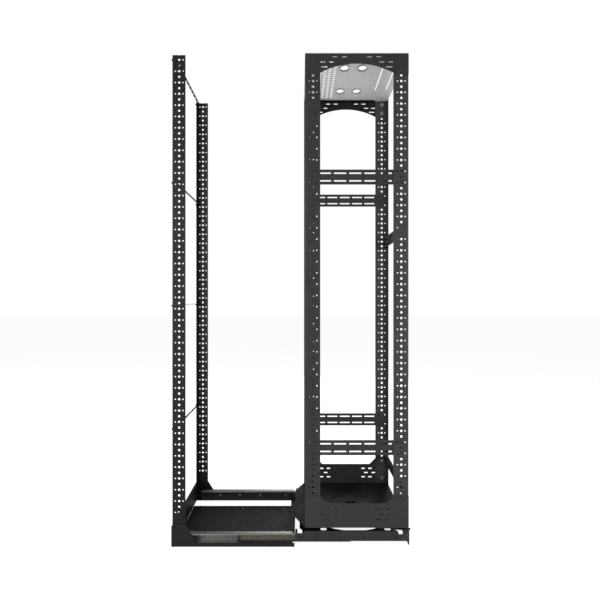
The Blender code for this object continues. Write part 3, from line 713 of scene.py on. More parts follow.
# half of a hole is left in the top edge
z0, z1 = back_post.z0, back_post.z1
NOTCH_R = 5.0
notch_angle = math.asin((BACK_TOP_HOLE - z1) / NOTCH_R)
notch = arc(BACK_COLUMN, BACK_TOP_HOLE, NOTCH_R, -notch_angle, notch_angle - math.pi, 8)
web = [(0, z0), (BACK_WEB, z0), (BACK_WEB, z1), *notch, (0, z1)]
rail_holes = [circle(13.0, z, 3.55, 10) for z in rail_heights(60.0, 42) if z < z1 - 10]
for tag, side in SIDES:
    part = Part().folded([(back_post.y0, back_post.x0), (back_post.y1, back_post.x0),
                          (back_post.y1, back_post.x1)],
                         [flap(back_post.y1 - back_post.y0, z0, z1, rail_holes),
                          [(web, holes)]], 2.0, 1.6, laid("wxz", side))
    part.stand_in("back_post_" + tag, "fixed_base", COAT["post"])

# back plate
back_plate = Box("back_plate")
PLATE_BOLT_Y = 236
PLATE_BOLT_Z = (26, 70)
part = Part().prism(rounded(box_rect(back_plate, "yz"), 4.0),
                    [circle(s * PLATE_BOLT_Y, z, 3.3, 12) for s in (-1, 1) for z in PLATE_BOLT_Z],
                    back_plate.x0, back_plate.x1, laid("yzx"))
part.stand_in("back_plate", "fixed_base", COAT["base"])

# front sill
sill = Box("front_sill")
SILL_SCREW_Y = 190
SILL_SCREW_IN = 13
part = Part().folded([(sill.x1, sill.z0), (sill.x1, sill.z1), (sill.x0, sill.z1)],
                     [flap(sill.z1 - sill.z0, sill.y0, sill.y1),
                      flap(sill.x1 - sill.x0, sill.y0, sill.y1,
                           [circle(SILL_SCREW_IN, s * SILL_SCREW_Y, 2.8, 12) for s in (-1, 1)])],
                     2.0, 1.4, laid("xzy"))
part.stand_in("front_sill", "fixed_base", COAT["pan"])

# lacing strips: slotted shelves across the back posts, with a tab down at each end
STRIP_END = 252
TAB_START = 229
TAB_DROP = 12
STRIP_DEPTH = 11
strip_tops = []
for i in range(1, 5):
    name = "lacing_strip_%d" % i
    lacing = Box(name)
    x0, top = lacing.x0, lacing.z1
    strip_tops.append(top)
    slots = [stadium(4.2, 7.0, -216 + 48 * k - 12, -216 + 48 * k + 12, 4) for k in range(10)]
    shelf = [(0, -STRIP_END), (0, -TAB_START), (0, TAB_START), (0, STRIP_END),
             (STRIP_DEPTH, STRIP_END), (STRIP_DEPTH, -STRIP_END)]
    tabs = (flap(TAB_DROP, -STRIP_END, -TAB_START, [circle(6, -242, 2.6, 10)])
            + flap(TAB_DROP, TAB_START, STRIP_END, [circle(6, 242, 2.6, 10)]))
    part = Part().folded([(x0, top - TAB_DROP), (x0, top), (x0 + STRIP_DEPTH, top)],
                         [tabs, [(shelf, slots)]], -1.6, 1.0, laid("xzy"))
    part.stand_in(name, "fixed_base", COAT["strip"])

# base hardware, each piece 0.05 clear of its seat
part = Part()
for x, y in PAN_SCREWS:
    part.pan_head((x, y, floor_pan.z1 + 0.05), UP, 5.6, 2.2)
for s in (-1, 1):
    for x in RAIL_SCREW_X:
        part.pan_head((x, s * (rail.y0 - 0.05), 28.8), (0, -s, 0), 5.2, 1.1)
        part.pan_head((x, s * (outer_slide.y0 + 2.45), 29.0), (0, s, 0), 4.6, 1.8)
part.emit("base_screws", "fixed_base", SCREW, "zinc")
part = Part()
for s in (-1, 1):
    for z in strip_tops:
        part.hex_nut((back_post.x0 - 0.05, s * 242.0, z - 5.0), BACKWARD, 4.6, 3.4, 6.2, 1.6)
    for z in PLATE_BOLT_Z:
        y = s * PLATE_BOLT_Y
        part.hex_nut((back_plate.x1 + 0.05, y, z), FRONTWARD, 5.4, 4.0, 7.4, 1.8)
        part.pan_head((back_post.x0 - 0.05, y, z), BACKWARD, 5.6, 2.4)
    for z in (62, 108):
        part.hex_nut((-199.0, s * (back_post.y1 - 2.05), z), (0, -s, 0), 5.2, 3.6, 7.0, 1.6)
    part.pan_head((sill.x1 - SILL_SCREW_IN, s * SILL_SCREW_Y, sill.z1 + 0.05), UP, 4.6, 2.0)
part.emit("base_bolts", "fixed_base", BLACK_SHADED_SCREW)

# =====================================================================
# slides
# =====================================================================
middle_slide = Box("slide_middle_far")
inner_slide = Box("slide_inner_far")
FLANGE = 2.4
WEB_W = (9.7, 10)  # the web's faces, in from the inner and the outer edge
for tag, side in SIDES:
    # middle slide: an I section
    a, b, z0, z1 = middle_slide.y0, middle_slide.y1, middle_slide.z0, middle_slide.z1
    web_a, web_b = a + WEB_W[0], b - WEB_W[1]
    low, high = z0 + FLANGE, z1 - FLANGE
    section = [(a, z0), (b, z0), (b, low), (web_b, low), (web_b, high), (b, high),
               (b, z1), (a, z1), (a, high), (web_a, high), (web_a, low), (a, low)]
    section = rounded(section, [0.7, 0.7, 0.7, 2.2, 2.2, 0.7] * 2, 3)
    part = Part().prism(section, [], middle_slide.x0, middle_slide.x1, laid("wzx", side))
    part.stand_in("slide_middle_" + tag, "slide_middle", SHADED_MIDDLE_ZINC, "zinc", 28)
    # rubber stop on its back end
    stop = rounded(rect(a + 0.6, b - 0.4, z0 + 0.5, z1 - 0.5), 3.0, 5)
    part = Part().prism(stop, [], middle_slide.x0 - 6.0, middle_slide.x0 - 0.2,
                        laid("wzx", side))
    part.emit("slide_stop_" + tag, "slide_middle", VINYL)
    # inner slide: a channel open towards the middle
    a, b, z0, z1 = inner_slide.y0, inner_slide.y1, inner_slide.z0, inner_slide.z1
    ends = (inner_slide.x0, inner_slide.x1)
    slots = [stadium(6.6, 10.6, x - 6, x + 6, 4) for x in (300, 400, 500, 600)]
    part = Part().folded([(a, z0), (b, z0), (b, z1), (a, z1)],
                         [flap(b - a, *ends), flap(z1 - z0, *ends, slots), flap(b - a, *ends)],
                         2.0, 0.8, laid("wzx", side))
    part.stand_in("slide_inner_" + tag, "carriage", INNER_ZINC, "zinc")

# =====================================================================
# carriage
# =====================================================================
# side beams: a low back end, and a notch in the top edge near the front
beam = Box("carriage_beam_far")
BEAM_BOLT_X = (268.5, 322.0, 515.0, 643.0)
BEAM_BOLT_Z = 34.0
BACK_TOP = 50.0
NOTCH_X = (645.4, 667.4)
x0, x1, z0, z1 = beam.x0, beam.x1, beam.z0, beam.z1
notch_z = z1 - 13
outline = rounded([(x0, z0), (x1, z0), (x1, z1), (NOTCH_X[1], z1), (NOTCH_X[1], notch_z),
                   (NOTCH_X[0], notch_z), (NOTCH_X[0], z1), (284.0, z1), (273.0, BACK_TOP),
                   (x0, BACK_TOP)], [3, 1.5, 1.5, 2.5, 3, 3, 2.5, 6, 6, 4])
for tag, side in SIDES:
    part = Part().prism(outline, [circle(x, BEAM_BOLT_Z, 3.0, 12) for x in BEAM_BOLT_X],
                        beam.y0, beam.y1, laid("xzw", side))
    part.stand_in("carriage_beam_" + tag, "carriage", COAT["carriage"])

# carriage pan: a sunk well between two side ledges
pan = Box("carriage_pan")
lock_pin = Box("lock_pin")
WELL = 218.5  # half the well's width
WELL_X = (272.0, 652.0)
BACK_LIP = 10.6
ledge_z = pan.z1 - 2.0
x0, x1 = WELL_X
floor_outline = [(0, x0), (0, x1), (60, x1), (74, pan.x1), (2 * WELL - 74, pan.x1),
                 (2 * WELL - 60, x1), (2 * WELL, x1), (2 * WELL, x0), (2 * WELL - 55, x0),
                 (2 * WELL - 75, x0 - BACK_LIP), (75, x0 - BACK_LIP), (55, x0)]
openings = [circle(TURN_X, 0, 173.0, 72)]
openings += [circle(TURN_X + off, s * 155.0, 14.0, 20) for off in (-127, 137) for s in (-1, 1)]
openings += [circle(x, y, 4.0) for x in (290, 650) for y in (-120, 120)]
openings.append(circle(lock_pin.x, lock_pin.y, 5.6, 16))
# the well floor is measured from its near edge
floor_holes = [[(y + WELL, x) for x, y in loop][::-1] for loop in openings]
ledge = flap(pan.y1 - WELL, x0, x1)
wall = flap(ledge_z - pan.z0, x0, x1)
part = Part().folded([(-pan.y1, ledge_z), (-WELL, ledge_z), (-WELL, pan.z0), (WELL, pan.z0),
                      (WELL, ledge_z), (pan.y1, ledge_z)],
                     [ledge, wall, [(floor_outline, floor_holes)], wall, ledge],
                     2.0, 1.5, laid("yzx"))
# the pan takes the darker turntable coat: painted shade under the rack
part.stand_in("carriage_pan", "carriage", COAT["turntable"])

# pivot bridge
bridge = Box("pivot_bridge")
BRIDGE_BOLTS = [(x, y) for x in (bridge.x0 + 12, bridge.x1 - 12) for y in (-44, 44)]
part = Part().prism(rounded(box_rect(bridge, "xy"), 8.0, 5),
                    [circle(TURN_X, 0, 14.5, 24)] + [circle(x, y, 3.4, 12) for x, y in BRIDGE_BOLTS],
                    bridge.z0, bridge.z1, laid("xyz"))
part.stand_in("pivot_bridge", "carriage", COAT["carriage"])

# front skirt, with a hand-sized slot in the middle
skirt = Box("front_skirt")
SKIRT_BOLT_Y = 243
SKIRT_BOLT_Z = (22, 44)
holes = [circle(s * SKIRT_BOLT_Y, z, 3.3, 12) for s in (-1, 1) for z in SKIRT_BOLT_Z]
part = Part().prism(rounded(box_rect(skirt, "yz"), 4.0), [stadium(-55, 55, 24, 44, 8)] + holes,
                    skirt.x0, skirt.x1, laid("yzx"))
part.stand_in("front_skirt", "carriage", COAT["carriage"])

# bearing: lathe profiles are (radius, z)
AXIS = (TURN_X, 0, 0)
RING_IN, RING_OUT = 40.0, 85.0
BALL_CIRCLE = 62.5
BALLS = 18
part = Part().lathe([
    (RING_IN, 25.4), (RING_IN + 0.8, 25.02), (RING_OUT - 0.8, 25.02), (RING_OUT, 25.8),
    (RING_OUT, 45.2), (RING_OUT - 0.9, 46.0), (72, 46.0), (70.6, 45.2), (68, 44.2),
    (BALL_CIRCLE, 43.9), (57, 44.2), (54.4, 45.2), (53, 46.0), (RING_IN + 0.9, 46.0),
    (RING_IN, 45.2)], AXIS, UP, 64)
part.stand_in("bearing_lower_ring", "carriage", STEEL, "steel")
part = Part().lathe([(56, 44.9), (56.4, 44.5), (68.6, 44.5), (69, 44.9), (69, 53.1),
                     (68.6, 53.5), (56.4, 53.5), (56, 53.1)], AXIS, UP, 64)
part.emit("bearing_cage", "ball_cage", BRASS, "cage_brass", cad="bearing_ball_cage")
# the crowns of the balls, standing out of the cage above and below
part = Part()
for i in range(BALLS):
    a = 2 * math.pi * i / BALLS
    x, y = TURN_X + BALL_CIRCLE * math.cos(a), BALL_CIRCLE * math.sin(a)
    for z, way in ((53.52, 1), (44.48, -1)):
        part.lathe([(0, 0), (4.2, 0), (3.9, 0.18), (3.0, 0.33), (1.6, 0.42), (0, 0.45)],
                   (x, y, z), (0, 0, way), 12)
part.emit("bearing_balls", "ball_cage", STEEL, "steel")

# lock pin, guide and lever post
PIN_FOOT = (lock_pin.x, lock_pin.y, 0)
part = Part().lathe([(5.5, 27.3), (10.6, 27.3), (11, 27.7), (11, 29.4), (10, 29.9), (10, 44.2),
                     (9.4, 45), (6.1, 45), (5.5, 44.4)], PIN_FOOT, UP, 28)
part.stand_in("lock_pin_guide", "carriage", SCREW, "zinc")
part = Part().lathe([(0, 18.5), (4.4, 18.5), (5, 19.1), (5, 65.9), (8.7, 65.9), (9, 66.2),
                     (9, 67.3), (8.7, 67.6), (5, 67.6), (5, 71), (4, 72), (0, 72)],
                    PIN_FOOT, UP, 28)
part.stand_in("lock_pin", "lock_pin", STEEL, "steel")
lever_post = Box("lever_pivot_post")
post_foot = pan.z1 + 0.3
part = Part().lathe([(0, post_foot), (8, post_foot), (8, 61.8), (7.6, 62.2), (4, 62.2), (4, 65.8),
                     (7, 65.8), (7, 67.8), (6.4, 68.4), (3, 68.4), (2.8, 67.4), (0, 67.4)],
                    (lever_post.x, lever_post.y, 0), UP, 28)
part.stand_in("lever_pivot_post", "carriage", SCREW, "zinc")

# lock lever: a head with a curved slot round the pin, and a bent handle
lever = Box("lock_lever")
px, py = lever_post.x, lever_post.y
arm = math.hypot(lock_pin.x - px, lock_pin.y - py)
pin_angle = math.atan2(lock_pin.y - py, lock_pin.x - px)
SLOT_HALF = 6.5
HEAD_MARGIN = math.radians(9)
start, end = pin_angle - math.radians(14), pin_angle + math.radians(34)
slot = (arc(px, py, arm - SLOT_HALF, start, end, 12)
        + arc(px, py, arm + SLOT_HALF, end, start, 12))
head = arc(px, py, arm + 2 * SLOT_HALF, start - HEAD_MARGIN, end + HEAD_MARGIN, 14)
heel = arc(px, py, 15, end + HEAD_MARGIN, math.radians(250), 3)[1:-1]
handle = [(px - 4, py - 14), (px + 30, py - 22), (697.0, -250.0), (700.4, -246.5),
          (698.0, -241.0), (px + 32, py - 8), (px + 14, py + 4)]
radii = [2.0] + [0] * 13 + [2.0] + [3, 3, 3, 4, 3, 3, 3, 5, 3]
part = Part().prism(rounded(head + heel + handle, radii, 3), [circle(px, py, 4.5, 20), slot],
                    lever.z0, lever.z1, laid("xyz"))
part.stand_in("lock_lever", "lock_lever", COAT["carriage"])

# dipped vinyl grip over the end of the lever
GRIP_START, GRIP_END = Vector((677.0, -242.6)), Vector((699.6, -245.6))
GRIP_Z = 65.2
GRIP_HALF_WIDTH, GRIP_HALF_HEIGHT = 7.2, 3.7
# share of the length, share of the full section
GRIP_STATIONS = [(0.0, 0.80), (0.05, 0.93), (0.15, 1.0), (0.55, 1.0), (0.8, 0.97),
                 (0.93, 0.80), (1.0, 0.50)]
GRIP_SIDES = 20


def squared(value):
    """Swells a sine or cosine, so that the section is squarer than an ellipse."""
    return math.copysign(abs(value) ** 0.7, value)


along = (GRIP_END - GRIP_START).normalized()
across = Vector((-along.y, along.x))
verts, faces = [], []
n = GRIP_SIDES
for share, size in GRIP_STATIONS:
    centre = GRIP_START + (GRIP_END - GRIP_START) * share
    for k in range(n):
        a = 2 * math.pi * k / n
        point = centre + across * (squared(math.cos(a)) * GRIP_HALF_WIDTH * size)
        verts.append((point.x, point.y,
                      GRIP_Z + squared(math.sin(a)) * GRIP_HALF_HEIGHT * size))
for i in range(len(GRIP_STATIONS) - 1):
    for k in range(n):
        j = (k + 1) % n
        faces.append((i * n + k, i * n + j, (i + 1) * n + j, (i + 1) * n + k))
faces.append(tuple(range(n))[::-1])
faces.append(tuple(range((len(GRIP_STATIONS) - 1) * n, len(GRIP_STATIONS) * n)))
Part().put(verts, faces).emit("lever_grip", "lock_lever", VINYL)

# carriage hardware
part = Part()
for s in (-1, 1):
    for x in BEAM_BOLT_X:
        part.pan_head((x, s * (beam.y1 + 0.05), BEAM_BOLT_Z), (0, s, 0), 5.4, 1.8)
    # the near ledge has no screw at its front end
    for x in (300.0, 400.0, 500.0, 600.0)[:3 if s < 0 else 4]:
        part.pan_head((x, s * 235.0, pan.z1 + 0.05), UP, 5.0, 2.0)
    for z in SKIRT_BOLT_Z:
        part.pan_head((skirt.x1 + 0.05, s * SKIRT_BOLT_Y, z), FRONTWARD, 5.2, 2.4)
for x, y in BRIDGE_BOLTS:
    part.hex_nut((x, y, 27.05), UP, 5.0, 3.6, 7.2, 1.4)
part.emit("carriage_bolts", "carriage", BLACK_SHADED_SCREW)

# stop tabs: small angles at the back ends of the beams, reaching in over the slides
TAB_W = (219.5, 252.25)
TAB_Z = (49.4, 54.3)
part = Part()
x0, x1 = beam.x0 + 0.4, beam.x0 + 9.6
for s in (-1, 1):
    part.folded([(TAB_W[0], TAB_Z[1]), (TAB_W[0], TAB_Z[0]), (TAB_W[1], TAB_Z[0])],
                [[(rounded(rect(0, TAB_Z[1] - TAB_Z[0], x0, x1), [1, 0, 0, 1], 3), [])],
                 flap(TAB_W[1] - TAB_W[0], x0, x1, [circle(14, beam.x0 + 5, 1.8, 10)])],
                -1.6, 0.8, laid("wzx", s))
part.emit("stop_tabs", "carriage", COAT["carriage"])

# bright plated screws at the front ends of the beams
part = Part()
for s in (-1, 1):
    part.pan_head((682.5, s * (beam.y1 + 0.05), 44.0), (0, s, 0), 3.8, 1.6)
    part.pan_head((672.0, s * (beam.y1 + 0.05), 30.0), (0, s, 0), 3.0, 1.4)
part.emit("beam_end_screws", "carriage", SCREW, "zinc")

# =====================================================================
# rack
# =====================================================================
top_panel = Box("top_panel")
RACK_BACK, RACK_FRONT = top_panel.x0, top_panel.x1


def arc_slot(radius, middle, half_angle, half, n=8):
    """A curved slot round the turntable's centre; angles in degrees."""
    start, end = math.radians(middle - half_angle), math.radians(middle + half_angle)

    def cap(angle, first):
        u, v = TURN_X + radius * math.cos(angle), radius * math.sin(angle)
        return arc(u, v, half, first, first + math.pi, 5)[1:-1]

    return (arc(TURN_X, 0, radius + half, start, end, n) + cap(end, end)
            + arc(TURN_X, 0, radius - half, end, start, n) + cap(start, start + math.pi))


# floor plate, with a tongue at the back and a lock hole every quarter turn
plate = Box("rack_floor_plate")
PLATE_HALF = 252.7
TONGUE_HALF = 155.0
outline = rounded([(RACK_BACK, -PLATE_HALF), (RACK_FRONT, -PLATE_HALF), (RACK_FRONT, PLATE_HALF),
                   (RACK_BACK, PLATE_HALF), (plate.x0, TONGUE_HALF), (plate.x0, -TONGUE_HALF)],
                  [2, 3, 3, 2, 8, 8])
holes = [circle(TURN_X, 0, 13.0, 24)]
dx, dy = lock_pin.x - TURN_X, lock_pin.y
for cos, sin in ((1, 0), (0, 1), (-1, 0), (0, -1)):
    holes.append(circle(TURN_X + dx * cos - dy * sin, dx * sin + dy * cos, 6.6, 16))
holes += [arc_slot(94.0, 45 + 90 * k, 14, 4.0) for k in range(4)]
holes += [arc_slot(122.0, 90 * k, 22, 1.8, 12) for k in range(1, 4)]
part = Part().prism(outline, holes, plate.z0, plate.z1, laid("xyz"))
part.stand_in("rack_floor_plate", "rack", COAT["turntable"])

# upper ring, pivot bolt and nut
part = Part().lathe([
    (RING_IN, 52.8), (RING_IN + 0.8, 52.0), (53, 52.0), (54.4, 52.8), (57, 53.8),
    (BALL_CIRCLE, 54.1), (68, 53.8), (70.6, 52.8), (72, 52.0), (RING_OUT - 0.9, 52.0),
    (RING_OUT, 52.8), (RING_OUT, 73.2), (RING_OUT - 0.8, 73.98), (RING_IN + 0.8, 73.98),
    (RING_IN, 73.2)], AXIS, UP, 64)
part.stand_in("bearing_upper_ring", "rack", STEEL, "steel")
part = Part().lathe([(0, 17.4), (10.8, 17.4), (12, 18.4), (12, 77.7), (29, 77.7), (29.5, 78.1),
                     (29.5, 79.6), (29, 80.0), (0, 80.0)], AXIS, UP, 40)
part.lathe([(0, 80.05), (19, 80.05), (19, 85.4), (16.6, 86.5), (0, 86.5)], AXIS, UP, 6)
part.stand_in("pivot_bolt", "rack", COAT["turntable"], "steel")
nut = Box("pivot_nut")
part = Part().prism(circle(TURN_X, 0, 20.9, 6, 0.0), [circle(TURN_X, 0, 12.3, 24)],
                    nut.z0, nut.z1, laid("xyz"))
part.stand_in("pivot_nut", "rack", SCREW, "zinc")

# rack posts: a flange across the rack with rail holes, and a web along its side
post = Box("rack_post_far_front")
POST_OUT = post.y1
POST_WEB = post.x1 - post.x0
POST_HOLE_Z = 1832.6
PAIR_OFFSET = 15.15
TOP_NUT_Z = (1922.0, 1880.0)
FOOT_NUT_Z = 102.0
BACK_COL, FRONT_COL = 31.3, 28.7  # main hole column, in from the rack's end
# name, x of the rack's end, direction into the rack, column, coat
POST_ENDS = (("back", RACK_BACK, 1, BACK_COL, COAT["rack"]),
             ("front", RACK_FRONT, -1, FRONT_COL, COAT["front_post"]))
rail_holes = [circle(232.55 - post.y0, z, 3.6, 10) for z in rail_heights(84.0, 41)]
for tag, side in SIDES:
    for end, edge, inwards, column, coat in POST_ENDS:
        holes = []
        for k in range(-1, 75):
            z = POST_HOLE_Z - HALF_UNIT * k
            holes.append(circle(column, z, 5.0))
            if k % 2 == 0:
                holes += [circle(column + off, z, 3.0, 10) for off in (-PAIR_OFFSET, PAIR_OFFSET)]
        holes += [circle(column, z, 4.2, 12) for z in (*TOP_NUT_Z, FOOT_NUT_Z)]
        part = Part().folded([(post.y0, 0), (POST_OUT, 0), (POST_OUT, POST_WEB)],
                             [flap(POST_OUT - post.y0, post.z0, post.z1, rail_holes),
                              flap(POST_WEB, post.z0, post.z1, holes)], 2.0, 1.6,
                             lambda w, u, z: (edge + inwards * u, side * w, z))
        part.stand_in("rack_post_%s_%s" % (tag, end), "rack", coat)

# side plates that join the posts at the bottom and the top
bottom_plate = Box("bottom_plate_far")
top_plate = Box("top_plate_far")
GAP_BACK, GAP_FRONT = RACK_BACK + POST_WEB, RACK_FRONT - POST_WEB
w_in, w_out = bottom_plate.y0, bottom_plate.y1

# bottom: lower between the posts, with 45 degree shoulders
DIP_Z = 169.0
z0, z1 = plate.z0, bottom_plate.z1
dip = z1 - DIP_Z
bottom = rounded([(RACK_BACK, z0), (RACK_FRONT, z0), (RACK_FRONT, z1), (GAP_FRONT, z1),
                  (GAP_FRONT - dip, DIP_Z), (GAP_BACK + dip, DIP_Z), (GAP_BACK, z1),
                  (RACK_BACK, z1)], [4, 4, 1, 2, 4, 4, 2, 1])
bottom_holes = []
for row, offsets in ((147.8, (84.5, 118.0)), (127.3, (98.4, 134.5)), (106.8, (84.5, 118.0))):
    bottom_holes += [stadium(TURN_X + s * off - 9, TURN_X + s * off + 9, row - 3, row + 3)
                     for off in offsets for s in (-1, 1)]
bottom_holes += [circle(TURN_X + s * 191.9, 145.3, 3.0, 12) for s in (-1, 1)]

# top: arched below between the posts
ARCH_TOP = 1900.0
ARCH_RISE = 36.0
z0, z1 = top_plate.z0, top_plate.z1
half_span = (GAP_FRONT - GAP_BACK) / 2
radius = (half_span * half_span + ARCH_RISE * ARCH_RISE) / (2 * ARCH_RISE)
half_angle = math.asin(half_span / radius)
arch = arc(TURN_X, ARCH_TOP - radius, radius, math.pi / 2 - half_angle,
           math.pi / 2 + half_angle, 36)
top = [(RACK_BACK, z0), (RACK_BACK, z1), (RACK_FRONT, z1), (RACK_FRONT, z0), (GAP_FRONT, z0),
       *arch, (GAP_BACK, z0)]
top_holes = []
# row height, slot offsets from the middle, slot length
for row, offsets, length in ((1926.9, (49.6, 86.6), 20), (1906.5, (99.3, 133.5), 20),
                             (1887.0, (126.5,), 27)):
    top_holes += [stadium(TURN_X + s * off - length / 2, TURN_X + s * off + length / 2,
                          row - 2.2, row + 2.2) for off in offsets for s in (-1, 1)]
flange = rounded([(GAP_BACK + 1, w_in - 0.02), (GAP_FRONT - 1, w_in - 0.02),
                  (GAP_FRONT - 6, w_in - 17), (GAP_BACK + 6, w_in - 17)], [0, 0, 3, 3])
flange_holes = [circle(x, w_in - 9, 2.6, 12) for x in (TURN_X - 110, TURN_X, TURN_X + 110)]

for tag, side in SIDES:
    part = Part().prism(bottom, bottom_holes, w_in, w_out, laid("xzw", side))
    part.stand_in("bottom_plate_" + tag, "rack", COAT["rack"])
    part = Part().prism(top, top_holes, w_in, w_out, laid("xzw", side))
    # flange folded inwards under the top panel, between the posts
    part.prism(flange, flange_holes, z1 - 2.1, z1 - 0.1, laid("xwz", side))
    # the far top plate takes the darker post coat: painted shade on its inner face
    part.stand_in("top_plate_" + tag, "rack", COAT["post" if side > 0 else "rack"])

    # lacing bars: two rows of long slots
    for level in ("upper", "lower"):
        name = "lacing_bar_%s_%s" % (tag, level)
        bar = Box(name)
        holes = []
        for k in range(-2, 3):
            x = TURN_X - 5.7 + 59.9 * k
            holes += [stadium(x - 24.8, x + 24.8, bar.z + dz - 3, bar.z + dz + 3, 6)
                      for dz in (-15.1, 15.1)]
        part = Part().prism(rounded(box_rect(bar, "xz"), 3.0), holes,
                            *sorted((abs(bar.y0), abs(bar.y1))), laid("xzw", side))
        part.stand_in(name, "rack", COAT["rack"])

# top panel: light grey below, a painted reflection of the bright floor; coated black on top;
# rows of vents, four oval cable openings and two long slots
OVAL_X, OVAL_Y = 19.5, 29.5  # half axes
OVALS = [(TURN_X + sx * 37.5, sy * 124.0) for sx in (-1, 1) for sy in (-1, 1)]
openings = [ellipse(x, y, OVAL_X, OVAL_Y) for x, y in OVALS]
openings += [stadium(x - 3, x + 3, -118, 118) for x in (610.9, 660.9)]
openings += [circle(x, -215 + 21 * j, 7.4) for x in (328.9, 349.4, 369.9, 390.4, 410.9)
             for j in range(21)]
outline = rounded(rect(RACK_BACK, RACK_FRONT, -top_panel.y1, top_panel.y1), 3.0)
under, over = top_panel.z0, top_panel.z1
part = Part().prism(outline, openings, under, over - 0.42, laid("xyz"))
part.stand_in("top_panel", "rack", FLOOR_REFLECTION_GREY, "panel_coat")
part = Part().prism(outline, openings, over - 0.40, over, laid("xyz"))
part.emit("top_panel_coat", "rack", COAT["rack"], "panel_coat")

# grommet edging on the four cable openings: (distance outwards from the oval, z)
EDGING = [(-0.9, under - 4.4), (0.8, under - 4.4), (1.2, under - 4.0), (1.2, under - 0.06),
          (-0.2, under - 0.06), (-0.2, over + 0.06), (1.2, over + 0.06), (1.2, over + 0.4),
          (0.8, over + 0.7), (-0.9, over + 0.7), (-1.3, over + 0.3), (-1.3, under - 4.1)]
EDGING_STEPS = 32
part = Part()
m = len(EDGING)
for x, y in OVALS:
    verts, faces = [], []
    for k in range(EDGING_STEPS):
        a = 2 * math.pi * k / EDGING_STEPS
        cos, sin = math.cos(a), math.sin(a)
        nx, ny = cos / OVAL_X, sin / OVAL_Y
        length = math.hypot(nx, ny)
        verts += [(x + OVAL_X * cos + nx / length * out, y + OVAL_Y * sin + ny / length * out, z)
                  for out, z in EDGING]
        j = (k + 1) % EDGING_STEPS
        for i in range(m):
            i2 = (i + 1) % m
            faces.append((k * m + i, j * m + i, j * m + i2, k * m + i2))
    part.put(verts, faces)
part.emit("cable_edging", "rack", GREY_VINYL, angle=40)

# cross bars: channels with an ear turned to the front at each end
for level in ("upper", "lower"):
    name = "cross_bar_" + level
    bar = Box(name)
    depth, half = bar.x1 - bar.x0, bar.y1
    ear = rect(0, depth, bar.z0, bar.z1)
    holes = [circle(half + y, bar.z + dz, 3.5) for y in (-180, 180) for dz in (-12, 12)]
    near_holes, far_holes = ([circle(s, bar.z + dz, 2.6, 12) for dz in (-14, 14)]
                             for s in (5.4, depth - 5.4))
    part = Part().folded([(bar.x1, -half), (bar.x0, -half), (bar.x0, half), (bar.x1, half)],
                         [[(rounded(ear, [3, 0, 0, 3]), near_holes)],
                          flap(2 * half, bar.z0, bar.z1, holes),
                          [(rounded(ear, [0, 3, 3, 0]), far_holes)]],
                         -2.0, 1.6, laid("xyz"))
    part.stand_in(name, "rack", COAT["post"])

# rack hardware
INNER_SEAT = 248.35
screws = Part()
nuts = Part()
for s in (-1, 1):
    inwards, outwards = (0, -s, 0), (0, s, 0)
    for x in (RACK_BACK + BACK_COL, RACK_FRONT - FRONT_COL):
        for z in TOP_NUT_Z:
            nuts.hex_nut((x, s * (POST_OUT - 2.05), z), inwards, 7.2, 4.6, 9.4, 2.2)
        for z in (FOOT_NUT_Z, 188.0):
            nuts.hex_nut((x, s * (POST_OUT - 2.05), z), inwards, 6.6, 4.4, 8.8, 2.0)
    for middle in (1454.8, 388.0):
        for x in (RACK_BACK + BACK_COL + PAIR_OFFSET, RACK_FRONT - FRONT_COL - PAIR_OFFSET):
            for z in (middle - 22.2, middle + 22.2):
                screws.pan_head((x, s * INNER_SEAT, z), inwards, 4.6, 2.2)
                screws.pan_head((x, s * (POST_OUT + 0.05), z), outwards, 4.4, 1.9)
    for middle in (1248.0, 213.5):
        for z in (middle - 14, middle + 14):
            screws.pan_head((683.2, s * INNER_SEAT, z), inwards, 4.0, 1.8)
for k in range(8):
    a = math.radians(22.5 + 45 * k)
    screws.pan_head((TURN_X + BALL_CIRCLE * math.cos(a), BALL_CIRCLE * math.sin(a),
                     plate.z1 + 0.05), UP, 4.2, 1.9)
screws.emit("rack_bolts", "rack", BLACK_SHADED_SCREW)
nuts.emit("rack_nuts", "rack", DARK_ZINC)


# =====================================================================
# stage, light, camera (metres)
# =====================================================================
def paper():
    """Near-white floor that glows, more so where the camera sees it directly."""
    mat = Surface("floor_paper")
    drift = mat.noise(scale=2.0, detail=3, rough=0.5)
    base = mat.ramp(drift, (0.3, (0.90, 0.90, 0.90)), (0.7, (0.93, 0.93, 0.93)))
    patches = mat.noise(scale=40.0, detail=3, rough=0.5)
    roughness = mat.span(patches, between=(0.3, 0.7), to=(0.75, 0.9))
    fibres = mat.noise(scale=300, detail=2, rough=0.5)
    normal = mat.bump(fibres, strength=0.05, distance=0.0002)
    mat.feed(mat.shader.inputs["Emission Color"], (1, 1, 1, 1))
    seen = mat.node("LightPath").outputs["Is Camera Ray"]
    mat.feed(mat.shader.inputs["Emission Strength"],
             mat.span(seen, between=(0.0, 1.0), to=(0.24, 0.85)))
    return mat.finish(base, roughness, normal, specular=0.2)


def studio_floor():
    material = paper()
    mesh = bpy.data.meshes.new("studio_floor")
    bm = bmesh.new()
    bmesh.ops.create_grid(bm, x_segments=24, y_segments=24, size=30.0)
    bm.to_mesh(mesh)
    bm.free()
    floor = bpy.data.objects.new("studio_floor", mesh)
    floor.location = (0.2, 0, -0.0006)
    mesh.materials.append(material)
    bpy.context.scene.collection.objects.link(floor)


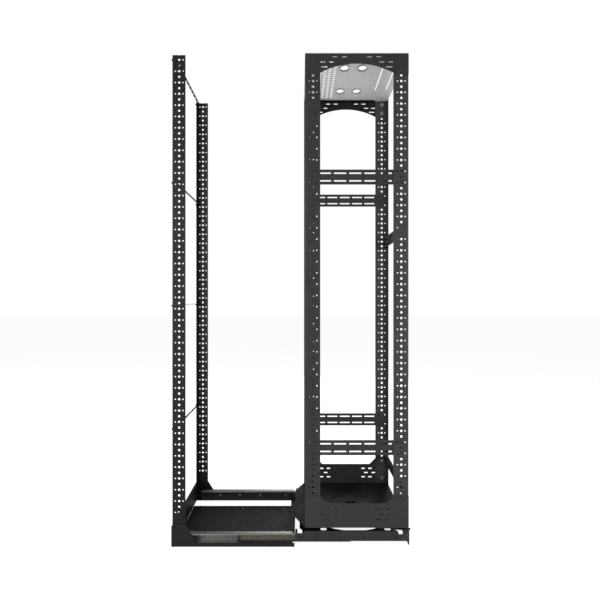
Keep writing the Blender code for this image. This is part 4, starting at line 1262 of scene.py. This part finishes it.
def studio_world():
    """White to the camera; a soft grey gradient, darker overhead, to everything else."""
    world = bpy.data.worlds.new("studio")
    bpy.context.scene.world = world
    world.use_nodes = True
    sky = Nodes(world.node_tree)
    sky.tree.nodes.clear()
    direction = sky.node("TexCoord").outputs["Generated"]
    height = sky.node("SeparateXYZ", {0: direction}).outputs["Z"]
    grey = sky.ramp(sky.span(height, between=(-1, 1)),
                    (0.42, (0.50, 0.50, 0.50)), (0.74, (0.20, 0.205, 0.21)))
    soft = sky.node("Background", {"Color": grey, "Strength": 0.55})
    white = sky.node("Background", {"Color": (1, 1, 1, 1), "Strength": 1.0})
    seen = sky.node("LightPath").outputs["Is Camera Ray"]
    both = sky.node("MixShader", {"Fac": seen, 1: soft.outputs[0], 2: white.outputs[0]})
    sky.node("OutputWorld", {"Surface": both.outputs[0]})


def softbox(name, at, target, size, power):
    light = bpy.data.lights.new(name, "AREA")
    light.energy = power
    light.size = size
    ob = bpy.data.objects.new(name, light)
    ob.location = at
    ob.rotation_mode = "QUATERNION"
    ob.rotation_quaternion = (Vector(target) - Vector(at)).to_track_quat("-Z", "Y")
    bpy.context.scene.collection.objects.link(ob)


def camera():
    """Looks level along +Y, at the near side."""
    data = bpy.data.cameras.new("camera")
    ob = bpy.data.objects.new("camera", data)
    ob.location = (0.2634, -2.355, 0.970)
    ob.rotation_euler = (math.radians(90), 0, 0)
    data.lens = 32.04
    data.sensor_width = 36.0
    data.clip_start = 0.05
    data.clip_end = 200
    bpy.context.scene.collection.objects.link(ob)
    bpy.context.scene.camera = ob


studio_floor()
studio_world()
softbox("key", at=(-2.3, -3.6, 1.7), target=(0.25, 0, 0.9), size=2.4, power=92)
softbox("fill", at=(3.4, -3.0, 1.3), target=(0.3, 0, 0.8), size=2.6, power=62)
softbox("top", at=(0.2, -0.4, 4.2), target=(0.2, 0, 0.5), size=2.4, power=16)
softbox("back", at=(0.9, 4.2, 1.8), target=(0.2, 0, 0.9), size=2.4, power=34)
camera()
view = bpy.context.scene.view_settings
view.view_transform = "Standard"
view.look = "None"
view.exposure = 0.0
view.gamma = 1.0
